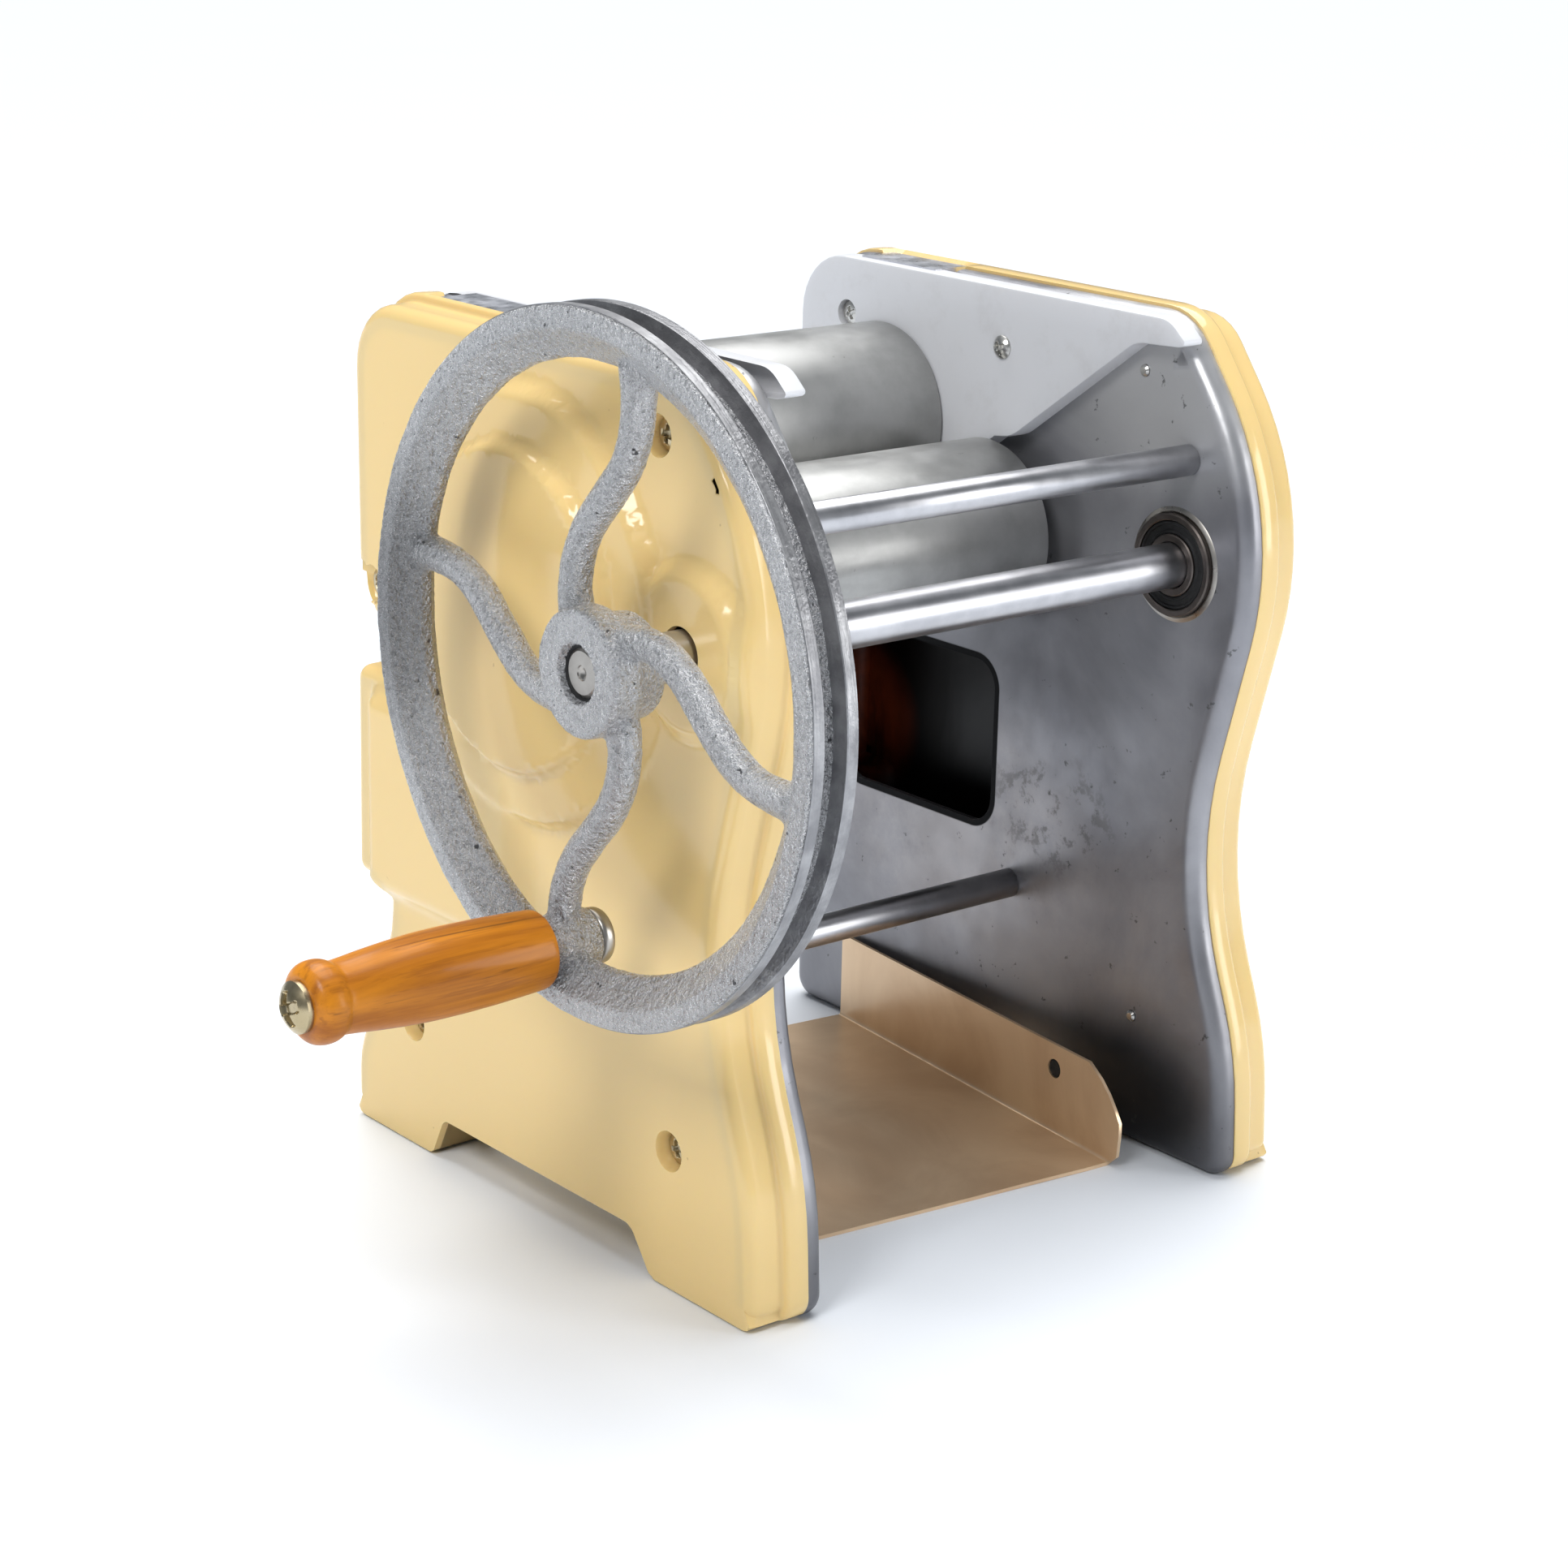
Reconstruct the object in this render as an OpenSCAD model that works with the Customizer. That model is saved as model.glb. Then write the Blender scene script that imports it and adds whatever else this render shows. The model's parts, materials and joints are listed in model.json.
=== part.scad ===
// Hand-cranked dough sheeter. X runs along the rollers, the handwheel side is -X,
// the front (catch tray) is -Y, Z is up and the feet stand on z = 0. Millimetres.

/* [Sides] */
// clear width between the two steel side plates
plate_gap = 140; // [136:1:146]
// sheet thickness of the side plates
plate_t = 1.8; // [1.4:0.1:2.2]
// depth of the pressed rim around each side plate
rim_depth = 6; // [5.5:0.5:6.5]
// height of the side plates above the table
side_h = 234.8; // [234:0.2:236]
// depth of the flange at the open edge of each cover
flange_depth = 6.5; // [5.5:0.5:7]
// depth of the cover body outside its flange
cover_depth = 9.9; // [9.5:0.1:11]
// wall of the covers
cover_wall = 2.4; // [2:0.1:2.8]
// thickness of the white nylon cheeks
cheek_t = 6.6; // [5:0.1:7]

/* [Rollers] */
// roller diameter
roller_d = 52; // [51.8:0.1:52.1]
// gap between the rollers at the thinnest setting
roller_gap = 0.5; // [0.4:0.1:0.7]
// how far the rear roller backs away
roller_travel = 3; // [2:0.5:3]
// roller journal diameter
journal_d = 14; // [13:0.5:14]
// front roller axis, back from the frame's datum
roller_y = 15.8; // [15.5:0.1:16.1]
// front roller axis height
roller_z = 166.2; // [165.8:0.1:166.6]

/* [Crank] */
// crank shaft diameter
shaft_d = 12.2; // [12:0.1:12.4]
// outer diameter of the crank bearings
bearing_d = 28; // [28:1:28]
// handwheel outer diameter
wheel_d = 171; // [166:1:176]
// handwheel rim width
rim_w = 14; // [13:0.5:15]
// hub front disc diameter
hub_d = 31.2; // [29:0.2:33]
// spoke thickness
spoke_w = 8.4; // [7:0.2:9]
// length of the wooden grip
grip_len = 66.8; // [60:0.2:72]
// largest diameter of the wooden grip
grip_d = 21.6; // [20:0.2:23]
// radius of the grip's orbit
grip_orbit = 73.2; // [72.8:0.2:74]

/* [Gears] */
// teeth on the crank pinion
pinion_teeth = 17; // [17:1:17]
// teeth on the drive gear
drive_teeth = 50; // [50:1:50]
// module of the pinion and drive gear
drive_module = 2; // [2:1:2]
// teeth on each roller gear
mesh_teeth = 15; // [15:1:15]
// module of the roller gears
mesh_module = 3.5; // [3.5:0.5:3.5]

/* [Tray] */
// tray width
tray_w = 118; // [110:1:119]
// tray length
tray_l = 134; // [110:1:134]
// tray side height
tray_h = 27; // [22:1:28]
// how far round the loose tray is turned, degrees
tray_turn = -6; // [-6.4:0.2:-5]

/* [Hidden] */

eps = 0.01;
cover_z = 0.5;                     // underside of the covers above the table
flange_proud = 0.5;                // cover flange outside the side plate's outline
plate_x = plate_gap / 2;           // inner face of a side plate
rim_x = plate_x + rim_depth;       // open edge of a side plate's rim
face_x = rim_x + flange_depth + cover_depth;   // outer face of a cover
body_inset = 1.8;                  // cover body in from its flange
gear_cd = drive_module * (pinion_teeth + drive_teeth) / 2 + 0.05;
shaft_y = roller_y - gear_cd * cos(1.9);       // crank axis, almost level with the roller
shaft_z = roller_z + gear_cd * sin(1.9);
lean = 30;                         // climb of the line from front to rear roller
roller_cd = roller_d + roller_gap;
rear_y = roller_y + roller_cd * cos(lean);
rear_z = roller_z + roller_cd * sin(lean);
roller_end = plate_x - cheek_t - 0.3;
wheel_x = face_x + 34;             // front face of the handwheel, from the middle
wheel_mid = wheel_x - rim_w / 2;
wheel_r = wheel_d / 2;
spoke_end = 280;                   // direction of the bottom spoke's outer end
grip_y = shaft_y + grip_orbit * cos(spoke_end + 1.5);
grip_z = shaft_z + grip_orbit * sin(spoke_end + 1.5);
grip_x = wheel_x + 0.8;            // inner end of the grip
bolt_d = 6.2;
adj_y = 70;                        // axis of the thickness adjuster
adj_z = 160;
adj_turn = 270;                    // turn of the knob over the roller's travel
scroll_r = 6;                      // start radius of the scroll groove
pin_d = 4;
knob_len = 14;
end_x = face_x + 1 + knob_len;     // outermost point of the far side
strip_t = 2.4;                     // inset strips in the top edges
bolt_head = 4;
grip_end = grip_x + grip_len;
origin_x = (end_x - grip_end - bolt_head) / 2;
back_y = 104;                      // heel of the rear feet
origin_y = (shaft_y - wheel_r + back_y + flange_proud) / 2;
rods = [[-54.3, 197.3], [7.7, 62.8], [91, 100]];
rod_d = 8.4;
cover_pts = [[-36.5, 218.4], [-44, 37.7], [72, 36.4], [90.5, 156.8]];
cheek_pts = [[78.8, 218.3], [12.3, 218.1]];

// side outline: [y, z, corner radius, share of the inset taken by the edge that follows]
side = [
    [-80.5, 0, 6, 0], [-37, 0, 4, 0], [-28.5, 11.4, 5, 0], [57.5, 11.4, 3, 0],
    [63, 0, 3, 0], [back_y, 0, 7, 1], [back_y, 19, 25, 1], [86.5, 60, 30, 1],
    [86, 70.5, 2, 1], [102, 70.5, 6, 1], [101.2, 134.5, 6, 1], [84, 134.5, 4, 1],
    [84, 145.5, 4, 1], [99.8, 145.5, 11, 1], [100.6, side_h, 20, 1], [-47.6, side_h, 18, 1],
    [-84.1, 186.5, 80, 1], [-58.6, 86.4, 100, 1], [-78.6, 34.6, 90, 1]];
cheek = [
    [-53.6, 227.5, 0.8, 0], [-38.5, 226.6, 10, 0], [8, 193.6, 12, 0], [14.5, 192.8, 1, 0],
    [38, 176, 3, 0], [50, 171, 6, 0], [99.4, 185, 8, 0], [99.4, side_h - 0.2, 18, 0],
    [-50.5, side_h - 0.2, 9, 0], [-57.6, 228.6, 1, 0]];

// ---- outline with rounded corners, moved inwards by d
function unit(v) = v / norm(v);
function edge_dir(c, i) = let (n = len(c), a = c[i % n], b = c[(i + 1) % n])
    unit([b[0] - a[0], b[1] - a[1]]);
function edge_pt(c, i, d) = let (n = len(c), a = c[i % n], u = edge_dir(c, i))
    [a[0] - u[1] * d * a[3], a[1] + u[0] * d * a[3]];
function corner_at(c, i, d) = let (n = len(c), j = (i + n - 1) % n, p = edge_pt(c, j, d),
    u = edge_dir(c, j), q = edge_pt(c, i, d), v = edge_dir(c, i),
    k = ((q[0] - p[0]) * v[1] - (q[1] - p[1]) * v[0]) / (u[0] * v[1] - u[1] * v[0])) p + u * k;
function corner_arc(c, i, d) = let (n = len(c), j = (i + n - 1) % n, u = edge_dir(c, j),
    v = edge_dir(c, i), p = corner_at(c, i, d), cr = u[0] * v[1] - u[1] * v[0],
    turn = asin(max(-1, min(1, cr))), t2 = (u * v < 0) ? sign(cr) * (180 - abs(turn)) : turn,
    s = sign(t2), w = s > 0 ? (c[j][3] + c[i][3]) / 2 : 0, r = max(0.6, c[i][2] - d * w),
    t = r * tan(abs(t2) / 2), a = p - u * t, o = a + s * r * [-u[1], u[0]],
    k = max(2, ceil(abs(t2) / (r > 30 ? 5 : 12))))
    [for (m = [0:k]) o + rot2(a - o, t2 * m / k)];
function rot2(v, a) = [v[0] * cos(a) - v[1] * sin(a), v[0] * sin(a) + v[1] * cos(a)];
function rounded(c, d = 0) = [for (i = [0:len(c) - 1]) each corner_arc(c, i, d)];

// ---- involute gear outline
function inv(r, rb) = let (a = acos(min(1, rb / r))) tan(a) * 180 / PI - a;
function tooth(z, m, k) = let (rp = z * m / 2, rb = rp * cos(20), ra = rp + 0.92 * m,
    rr = rp - 1.2 * m, half = 90 / z - 0.09 / rp * 180 / PI, f = half + inv(rp, rb),
    rs = max(rr, rb), c = 360 / z * k)
    concat([[rr, c - 180 / z + 0.01], [rr, c - f - 0.3]],
        [for (i = [0:4]) let (r = rs + (ra - rs) * i / 4) [r, c - f + inv(r, rb)]],
        [for (i = [4:-1:0]) let (r = rs + (ra - rs) * i / 4) [r, c + f - inv(r, rb)]],
        [[rr, c + f + 0.3]]);
function gear_pts(z, m) = [for (k = [0:z - 1]) each tooth(z, m, k)];

// ---- S-shaped spoke, radius and direction along its middle
spoke_path = [[13, 49], [17, 56], [21, 61.5], [25, 67.5], [29, 74], [33, 80.5], [37, 87.5],
    [41, 93.5], [45, 97.5], [49, 100.5], [53, 102.3], [58, 103], [63, 102.8], [68, 102],
    [74, 100.8]];
function spoke_mid(i) = let (p = spoke_path[i]) p[0] * [cos(p[1]), sin(p[1])];
function spoke_side(i, w) = let (n = len(spoke_path) - 1, a = spoke_mid(max(0, i - 1)),
    b = spoke_mid(min(n, i + 1)), u = unit(b - a)) spoke_mid(i) + w * [-u[1], u[0]];

// ---- placing: x0 and width along X, drawing in (y, z)
module at(v = [0, 0]) translate([-origin_x, -origin_y + v[0], v[1]]) children();
module slab(x0, w) translate([x0, 0, 0]) rotate([90, 0, 90]) linear_extrude(w) children();
module rod(x0, w, d) translate([x0, 0, 0]) rotate([0, 90, 0]) cylinder(h = w, d = d, $fn = 64);
module outline(d = 0) polygon(rounded(side, d));
module ring(x0, w, od, id) difference() {
    rod(x0, w, od);
    rod(x0 - eps, w + 2 * eps, id);
}
module along(a = 0) rotate([lean, 0, 0]) translate([0, a, 0]) children();
module gear(x0, w, z, m, turn, bore) difference() {
    slab(x0, w) rotate(turn) polygon([for (p = gear_pts(z, m)) p[0] * [cos(p[1]), sin(p[1])]]);
    rod(x0 - eps, w + 2 * eps, bore);
}
module box_yz(x0, w, y0, y1, z0, z1) translate([x0, y0, z0]) cube([w, y1 - y0, z1 - z0]);
module pan_screw(x0, head_d, head_h, shank_d, shank_l) {
    rod(x0, head_h, head_d);
    rod(x0 - shank_l, shank_l + eps, shank_d);
}

// ---- sides
module window_2d() polygon(rounded([[17, 77.7, 8, 0], [82, 77.7, 8, 0],
    [82, 125.9, 8, 0], [17, 125.9, 8, 0]]));
module strip_cut() box_yz(plate_x - 3.1, 12.1, 45, 77, side_h - strip_t + 0.2, side_h + 4);
module side_plate() difference() {
    union() {
        slab(plate_x, plate_t) outline();
        slab(plate_x, rim_depth) difference() {
            outline();
            outline(plate_t);
        }
    }
    slab(plate_x - 1, 4) window_2d();
    translate([0, shaft_y, shaft_z]) rod(plate_x - 1, 4, bearing_d);
    translate([0, roller_y, roller_z]) rod(plate_x - 1, 4, 20);
    translate([0, rear_y, rear_z]) {
        along() rod(plate_x - 1, 4, journal_d + 1);
        along(roller_travel) rod(plate_x - 1, 4, journal_d + 1);
        along() box_yz(plate_x - 1, 4, 0, roller_travel, -journal_d / 2 - 0.5, journal_d / 2 + 0.5);
    }
    translate([0, adj_y, adj_z]) rod(plate_x - 1, 4, 6.1);
    for (p = rods) translate([0, p[0], p[1]]) rod(plate_x - 1, 4, 5);
    for (p = cover_pts) translate([0, p[0], p[1]]) rod(plate_x - 1, 4, 3.4);
    for (p = cheek_pts) translate([0, p[0], p[1]]) rod(plate_x - 1, 4, 4);
    strip_cut();
}
module cover_shell() difference() {
    union() {
        difference() {
            union() {
                translate([0, 0, cover_z]) {
                    slab(rim_x, flange_depth) outline(-flange_proud);
                    slab(rim_x, flange_depth + cover_depth - 2) outline(body_inset);
                    slab(rim_x, flange_depth + cover_depth - 0.7) outline(body_inset + 0.8);
                    slab(rim_x, flange_depth + cover_depth) outline(body_inset + 2.2);
                }
                children(0);
            }
            translate([0, 0, cover_z + 2]) slab(rim_x - 1, face_x - cover_wall - rim_x + 1)
                outline(body_inset + cover_wall);
            children(1);
            strip_cut();
        }
        for (p = cover_pts) translate([0, p[0], p[1]])
            rod(plate_x + plate_t, face_x - plate_x - plate_t - 1, 13);
    }
    for (p = cover_pts) translate([0, p[0], p[1]]) {
        rod(face_x - 4, 6, 10);
        rod(plate_x, 30, 4.2);
    }
}
module near_side_plate() color([0.5, 0.5, 0.52]) at() mirror([1, 0, 0]) side_plate();
module far_side_plate() color([0.5, 0.5, 0.52]) at() side_plate();

dome = [[57.8, 0], [54, 3.8], [43.5, 7], [42, 9], [0, 9]];
boss = [[22.4, 0], [22.4, 3.6], [0, 3.6]];
// solid of revolution about X on the cover face, its profile given as [radius, height]
module swell(c, profile, gap) translate([face_x, c[0], c[1]]) rotate([0, 90, 0])
    rotate_extrude($fn = 96) polygon(concat([[0, -4], [profile[0][0] - gap, -4]],
        [for (p = profile) [max(0, p[0] - gap), p[1] - 0.9 * gap]]));
// raised block under the dome, its front wall sloping
module ramp(gap) translate([0, 0, 72 + gap]) linear_extrude(58 - 2 * gap) polygon([[face_x - 4, 12 + gap],
    [face_x - gap, 12 + gap], [face_x + 4.4 - gap, 23 + gap * 0.6], [face_x + 4.4 - gap, 88 - gap],
    [face_x - gap, 91 - gap], [face_x - 4, 91 - gap]]);
module near_cover() color([0.95, 0.82, 0.55]) at() mirror([1, 0, 0]) cover_shell() {
    union() {
        swell([roller_y, roller_z], dome, 0);
        swell([shaft_y, shaft_z], boss, 0);
        ramp(0);
    }
    union() {
        swell([roller_y, roller_z], dome, cover_wall);
        swell([shaft_y, shaft_z], boss, cover_wall);
        ramp(cover_wall);
        translate([0, shaft_y, shaft_z]) rod(face_x - 6, 12, shaft_d + 1.8);
    }
}
module far_cover() color([0.95, 0.82, 0.55]) at() cover_shell() {
    translate([0, adj_y, adj_z]) rod(face_x - 2, 2.6, 24);
    translate([0, adj_y, adj_z]) rod(face_x - 6, 12, 6.7);
}
module tie_rod(i) color([0.75, 0.75, 0.77]) at(rods[i]) difference() {
    rod(-plate_x, plate_gap, rod_d);
    for (s = [0, 1]) mirror([s, 0, 0]) rod(plate_x - 14, 15, 4.2);
}
module tie_rod_upper() tie_rod(0);
module tie_rod_lower() tie_rod(1);
module tie_rod_rear() tie_rod(2);
module tie_rod_screws() color([0.6, 0.6, 0.62]) for (p = rods) at(p)
    for (s = [0, 1]) mirror([s, 0, 0]) {
        rod(plate_x + plate_t, 1, 11);
        pan_screw(plate_x + plate_t + 1, 8.5, 3, 4.2, 12);
    }
module cheek_plate() difference() {
    slab(plate_x - cheek_t, cheek_t) polygon(rounded(cheek));
    translate([0, rear_y, rear_z]) {
        along() rod(plate_x - 8, 9, journal_d + 2);
        along(roller_travel) rod(plate_x - 8, 9, journal_d + 2);
        along() box_yz(plate_x - 8, 9, 0, roller_travel, -journal_d / 2 - 1, journal_d / 2 + 1);
    }
    translate([0, cheek_pts[0][0], cheek_pts[0][1]])
        rod(plate_x - cheek_t - 1, cheek_sunk + cheek_head + 1, 8);
    for (p = cheek_pts) translate([0, p[0], p[1]]) rod(plate_x - 8, 9, 4);
    strip_cut();
}
cheek_sunk = 1.2;                  // depth of the sunk screw's head below the cheek's face
cheek_head = 1.4;
// heads of the sunk and the pan screw: [start, height, diameter]
cheek_heads = [[plate_x - cheek_t + cheek_sunk, cheek_head, 7.2], [plate_x - cheek_t - 2, 2, 6.6]];
module near_cheek() color([0.95, 0.95, 0.95]) at() mirror([1, 0, 0]) cheek_plate();
module far_cheek() color([0.95, 0.95, 0.95]) at() cheek_plate();
module cheek_screws() color([0.7, 0.7, 0.7]) for (s = [0, 1], k = [0, 1]) at()
    mirror([s, 0, 0]) translate([0, cheek_pts[k][0], cheek_pts[k][1]]) difference() {
        head = cheek_heads[k];
        union() {
            rod(head[0], head[1], head[2]);
            rod(head[0] + 1.2, plate_x + plate_t - head[0], 3.9);
            rod(plate_x + plate_t, 2.4, 7);
        }
        for (a = [0, 90]) rotate([a, 0, 0]) translate([head[0] - 0.1, -1.8, -0.4])
            cube([1.1, 3.6, 0.8]);
    }
module cover_screws() color([0.72, 0.66, 0.5]) for (s = [0, 1], p = cover_pts) at()
    mirror([s, 0, 0]) translate([0, p[0], p[1]]) difference() {
        union() {
            rod(face_x - 4, 2.6, 7);
            rod(plate_x - 0.8, face_x - plate_x - 3, 3.4);
        }
        for (a = [0, 90]) rotate([a, 0, 0]) translate([face_x - 2.6, -2, -0.45]) cube([2, 4, 0.9]);
    }

// ---- bearings and guides
module crank_bearings() color([0.8, 0.8, 0.82]) at([shaft_y, shaft_z])
    for (s = [0, 1]) mirror([s, 0, 0]) {
        ring(plate_x - 2, 8, bearing_d, 24);
        ring(plate_x - 2, 8, 17, shaft_d + 0.1);
    }
module bearing_seals() color([0.08, 0.08, 0.08]) at([shaft_y, shaft_z])
    for (s = [0, 1]) mirror([s, 0, 0]) ring(plate_x - 1.6, 7.2, 24, 17);
module bearing_housings() color([0.55, 0.55, 0.57]) at([shaft_y, shaft_z])
    for (s = [0, 1]) mirror([s, 0, 0]) ring(plate_x + plate_t, 6 - plate_t, 38, bearing_d);
module roller_bushes() color([0.75, 0.6, 0.3]) at([roller_y, roller_z])
    for (s = [0, 1]) mirror([s, 0, 0]) {
        ring(plate_x - 1.5, 9.5, 20, journal_d + 0.1);
        ring(plate_x + plate_t, 3, 30, 19.99);
    }
block_w = 24;
block_back = 14;
block_front = 15;
// rails above and below each block, [start along the travel, length, side]
rails = [[-14, 27, 1], [-14, 7.5, -1], [5.2, 7.8, -1]];
module block_guides() color([0.55, 0.55, 0.57]) for (s = [0, 1]) at() mirror([s, 0, 0])
    translate([0, rear_y, rear_z]) along() for (r = rails)
        translate([plate_x + plate_t, r[0], r[2] > 0 ? block_w / 2 + 0.1 : -block_w / 2 - 6.1])
            cube([6, r[1], 6]);
module scrapers() color([0.7, 0.7, 0.72]) at() {
    translate([0, roller_y, roller_z]) rotate([-42, 0, 0]) scraper_blade();
    translate([0, rear_y, rear_z]) rotate([-94, 0, 0]) scraper_blade();
}
module scraper_blade() translate([-plate_x, roller_d / 2 + 0.4, -0.6]) {
    cube([plate_gap, 9, 1.2]);
    translate([0, 8, -2.4]) cube([plate_gap, 3, 6]);
}
module top_strips() color([0.82, 0.82, 0.85]) for (s = [0, 1]) at() mirror([s, 0, 0])
    translate([plate_x - 3, 45.1, side_h - strip_t + 0.2]) cube([11.9, 31.8, strip_t]);

// ---- crank
module crank_shaft() color([0.8, 0.8, 0.82]) at([shaft_y, shaft_z]) difference() {
    rod(-wheel_x + 1.4, wheel_x - 1.4 + plate_x + 10, shaft_d);
    translate([-wheel_x + 1.3, 0, 0]) rotate([0, 90, 0]) cylinder(h = 1.6, d = 3, $fn = 24);
    rod(plate_x + 8.5, 2, 5);
}
module wheel_section() polygon([[wheel_r - 5.2, -wheel_x], [wheel_r, -wheel_x],
    [wheel_r, -wheel_x + 4], [wheel_r - 6.3, -wheel_mid - 1.9], [wheel_r - 6.3, -wheel_mid + 1.9],
    [wheel_r, -wheel_x + rim_w - 3], [wheel_r, -wheel_x + rim_w], [wheel_r - 5.2, -wheel_x + rim_w],
    [wheel_r - 13, -wheel_mid + 0.6], [wheel_r - 13, -wheel_mid - 0.6]]);
module spoke_flat(w) polygon(concat([for (i = [0:len(spoke_path) - 1]) spoke_side(i, w / 2)],
    [for (i = [len(spoke_path) - 1:-1:0]) spoke_side(i, -w / 2)]));
module handwheel() color([0.66, 0.67, 0.68]) at([shaft_y, shaft_z]) difference() {
    union() {
        rotate([0, 90, 0]) rotate_extrude($fn = 96) wheel_section();
        rod(-wheel_x, 8, hub_d);
        rod(-wheel_x + 8 - eps, 9, 25);
        for (k = [0:3]) rotate([90 * k, 0, 0]) {
            slab(-wheel_mid - 2.4, 4.8) spoke_flat(spoke_w);
            slab(-wheel_mid - 4, 8) spoke_flat(spoke_w - 2.8);
        }
        translate([0, grip_y - shaft_y, grip_z - shaft_z]) rod(-wheel_x - 0.3, rim_w + 0.3, 15);
    }
    rod(-wheel_x - 1, 22, shaft_d);
    translate([0, grip_y - shaft_y, grip_z - shaft_z]) rod(-wheel_x - 1, rim_w + 3, bolt_d);
    translate([-wheel_x + 12.5, 0, 0]) cylinder(h = 14, d = 5, $fn = 32);
}
module hub_set_screw() color([0.2, 0.2, 0.2]) at([shaft_y, shaft_z])
    translate([-wheel_x + 12.5, 0, shaft_d / 2]) difference() {
        cylinder(h = 6, d = 5, $fn = 32);
        translate([0, 0, 3.5]) cylinder(h = 3, d = 2.6, $fn = 6);
    }
mesh_dir = atan2(roller_z - shaft_z, roller_y - shaft_y);
gear_x = -face_x + 0.6;
module pinion() color([0.6, 0.58, 0.55]) at([shaft_y, shaft_z]) {
    gear(gear_x, 10, pinion_teeth, drive_module, mesh_dir, shaft_d);
    ring(gear_x + 10 - eps, 3, 20, shaft_d);
}
module shaft_circlips() color([0.15, 0.15, 0.15]) at([shaft_y, shaft_z]) {
    for (s = [0, 1]) mirror([s, 0, 0]) ring(plate_x + 6.3, 1.2, 17, shaft_d);
}
module handle_bolt() color([0.78, 0.74, 0.66]) at([grip_y, grip_z]) difference() {
    union() {
        rod(-grip_end - eps, grip_len + 17.5, bolt_d);
        translate([-grip_end, 0, 0]) rotate([0, -90, 0]) rotate_extrude($fn = 64)
            polygon([[0, 0], [6.2, 0], [6.3, 0.6], [5.9, 1.7], [4.9, 2.7], [3.4, 3.5], [1.7, 3.9],
                [0, 4]]);
    }
    for (a = [0, 90]) rotate([a, 0, 0]) translate([-grip_end - 5, -3, -0.6]) cube([3.2, 6, 1.2]);
}
module handle_nut() color([0.6, 0.57, 0.5]) at([grip_y, grip_z]) difference() {
    union() {
        rod(-wheel_x + rim_w, 3.4, 14.4);
        rod(-wheel_x + rim_w + 3.3, 1.1, 12);
    }
    rod(-wheel_x + rim_w - 1, 7, bolt_d);
}
module handle_grip() color([0.72, 0.42, 0.14]) at([grip_y, grip_z]) difference() {
    translate([-grip_x, 0, 0]) rotate([0, -90, 0]) rotate_extrude($fn = 96) polygon([[0, 0],
        [grip_d * 0.45, 0], [grip_d * 0.475, 1], [grip_d * 0.495, 12], [grip_d / 2, 24],
        [grip_d * 0.49, 36], [grip_d * 0.455, 47], [grip_d * 0.415, 54], [grip_d * 0.4, 57.4],
        [grip_d * 0.405, 58.6], [grip_d * 0.45, 60.2], [grip_d * 0.458, 62],
        [grip_d * 0.44, 65], [grip_d * 0.36, grip_len - 0.3], [0, grip_len - 0.3]]);
    rod(-grip_end - 1, grip_len + 2, bolt_d + 0.12);
}

// ---- rollers and their gears
module roller(near_end, far_end) {
    rod(-roller_end, 2 * roller_end, roller_d);
    rod(-near_end, near_end + far_end, journal_d);
}
module front_roller() color([0.55, 0.55, 0.56]) at([roller_y, roller_z]) difference() {
    roller(face_x + 0.6, face_x - 3.6);
    rod(-face_x - 1, 12, 4);
    rod(face_x - 12, 12, 4);
}
module drive_gear() color([0.6, 0.58, 0.55]) at([roller_y, roller_z]) difference() {
    gear(gear_x, 10, drive_teeth, drive_module, mesh_dir + 180 + 180 / drive_teeth, journal_d);
    for (k = [0:4]) rotate([72 * k, 0, 0]) translate([0, 29, 0]) rod(gear_x - 1, 12, 15);
}
far_gear_x = face_x - 11.2;
module front_mesh_gear() color([0.6, 0.58, 0.55]) at([roller_y, roller_z])
    gear(far_gear_x, 7.6, mesh_teeth, mesh_module, lean, journal_d);
module front_gear_screws() color([0.6, 0.6, 0.62]) at([roller_y, roller_z]) {
    mirror([1, 0, 0]) pan_screw(face_x + 0.6, 18, 2.2, 4, 10);
    pan_screw(face_x - 3.6, 18, 0.8, 4, 8);
}
// pin of the sliding block, from the rear roller's axis along the line of travel and across it
pin_u = scroll_r + (adj_y - rear_y) * cos(lean) + (adj_z - rear_z) * sin(lean);
pin_v = (adj_z - rear_z) * cos(lean) - (adj_y - rear_y) * sin(lean);
module slide_block() difference() {
    along() translate([plate_x + plate_t + 0.1, 0, 0]) {
        translate([0, -block_back, -block_w / 2]) cube([8, block_back + block_front, block_w]);
        translate([0, pin_u - 2.5, pin_v - 3.4]) cube([3.6, 6.4, -pin_v - block_w / 2 + 4.4]);
        translate([0, pin_u, pin_v]) rod(0, 7.4, pin_d);
    }
    rod(plate_x, 12, journal_d + 0.1);
}
module slide_blocks() color([0.75, 0.6, 0.3]) for (s = [0, 1]) at()
    mirror([s, 0, 0]) translate([0, rear_y, rear_z]) slide_block();
module rear_roller() color([0.55, 0.55, 0.56]) at([rear_y, rear_z]) difference() {
    roller(plate_x + 9.6, face_x - 3.6);
    rod(face_x - 12, 12, 4);
}
module rear_mesh_gear() color([0.6, 0.58, 0.55]) at([rear_y, rear_z])
    gear(far_gear_x, 7.6, mesh_teeth, mesh_module, lean + 180 + 180 / mesh_teeth, journal_d);
module rear_gear_screw() color([0.6, 0.6, 0.62]) at([rear_y, rear_z])
    pan_screw(face_x - 3.6, 18, 0.8, 4, 8);

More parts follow.
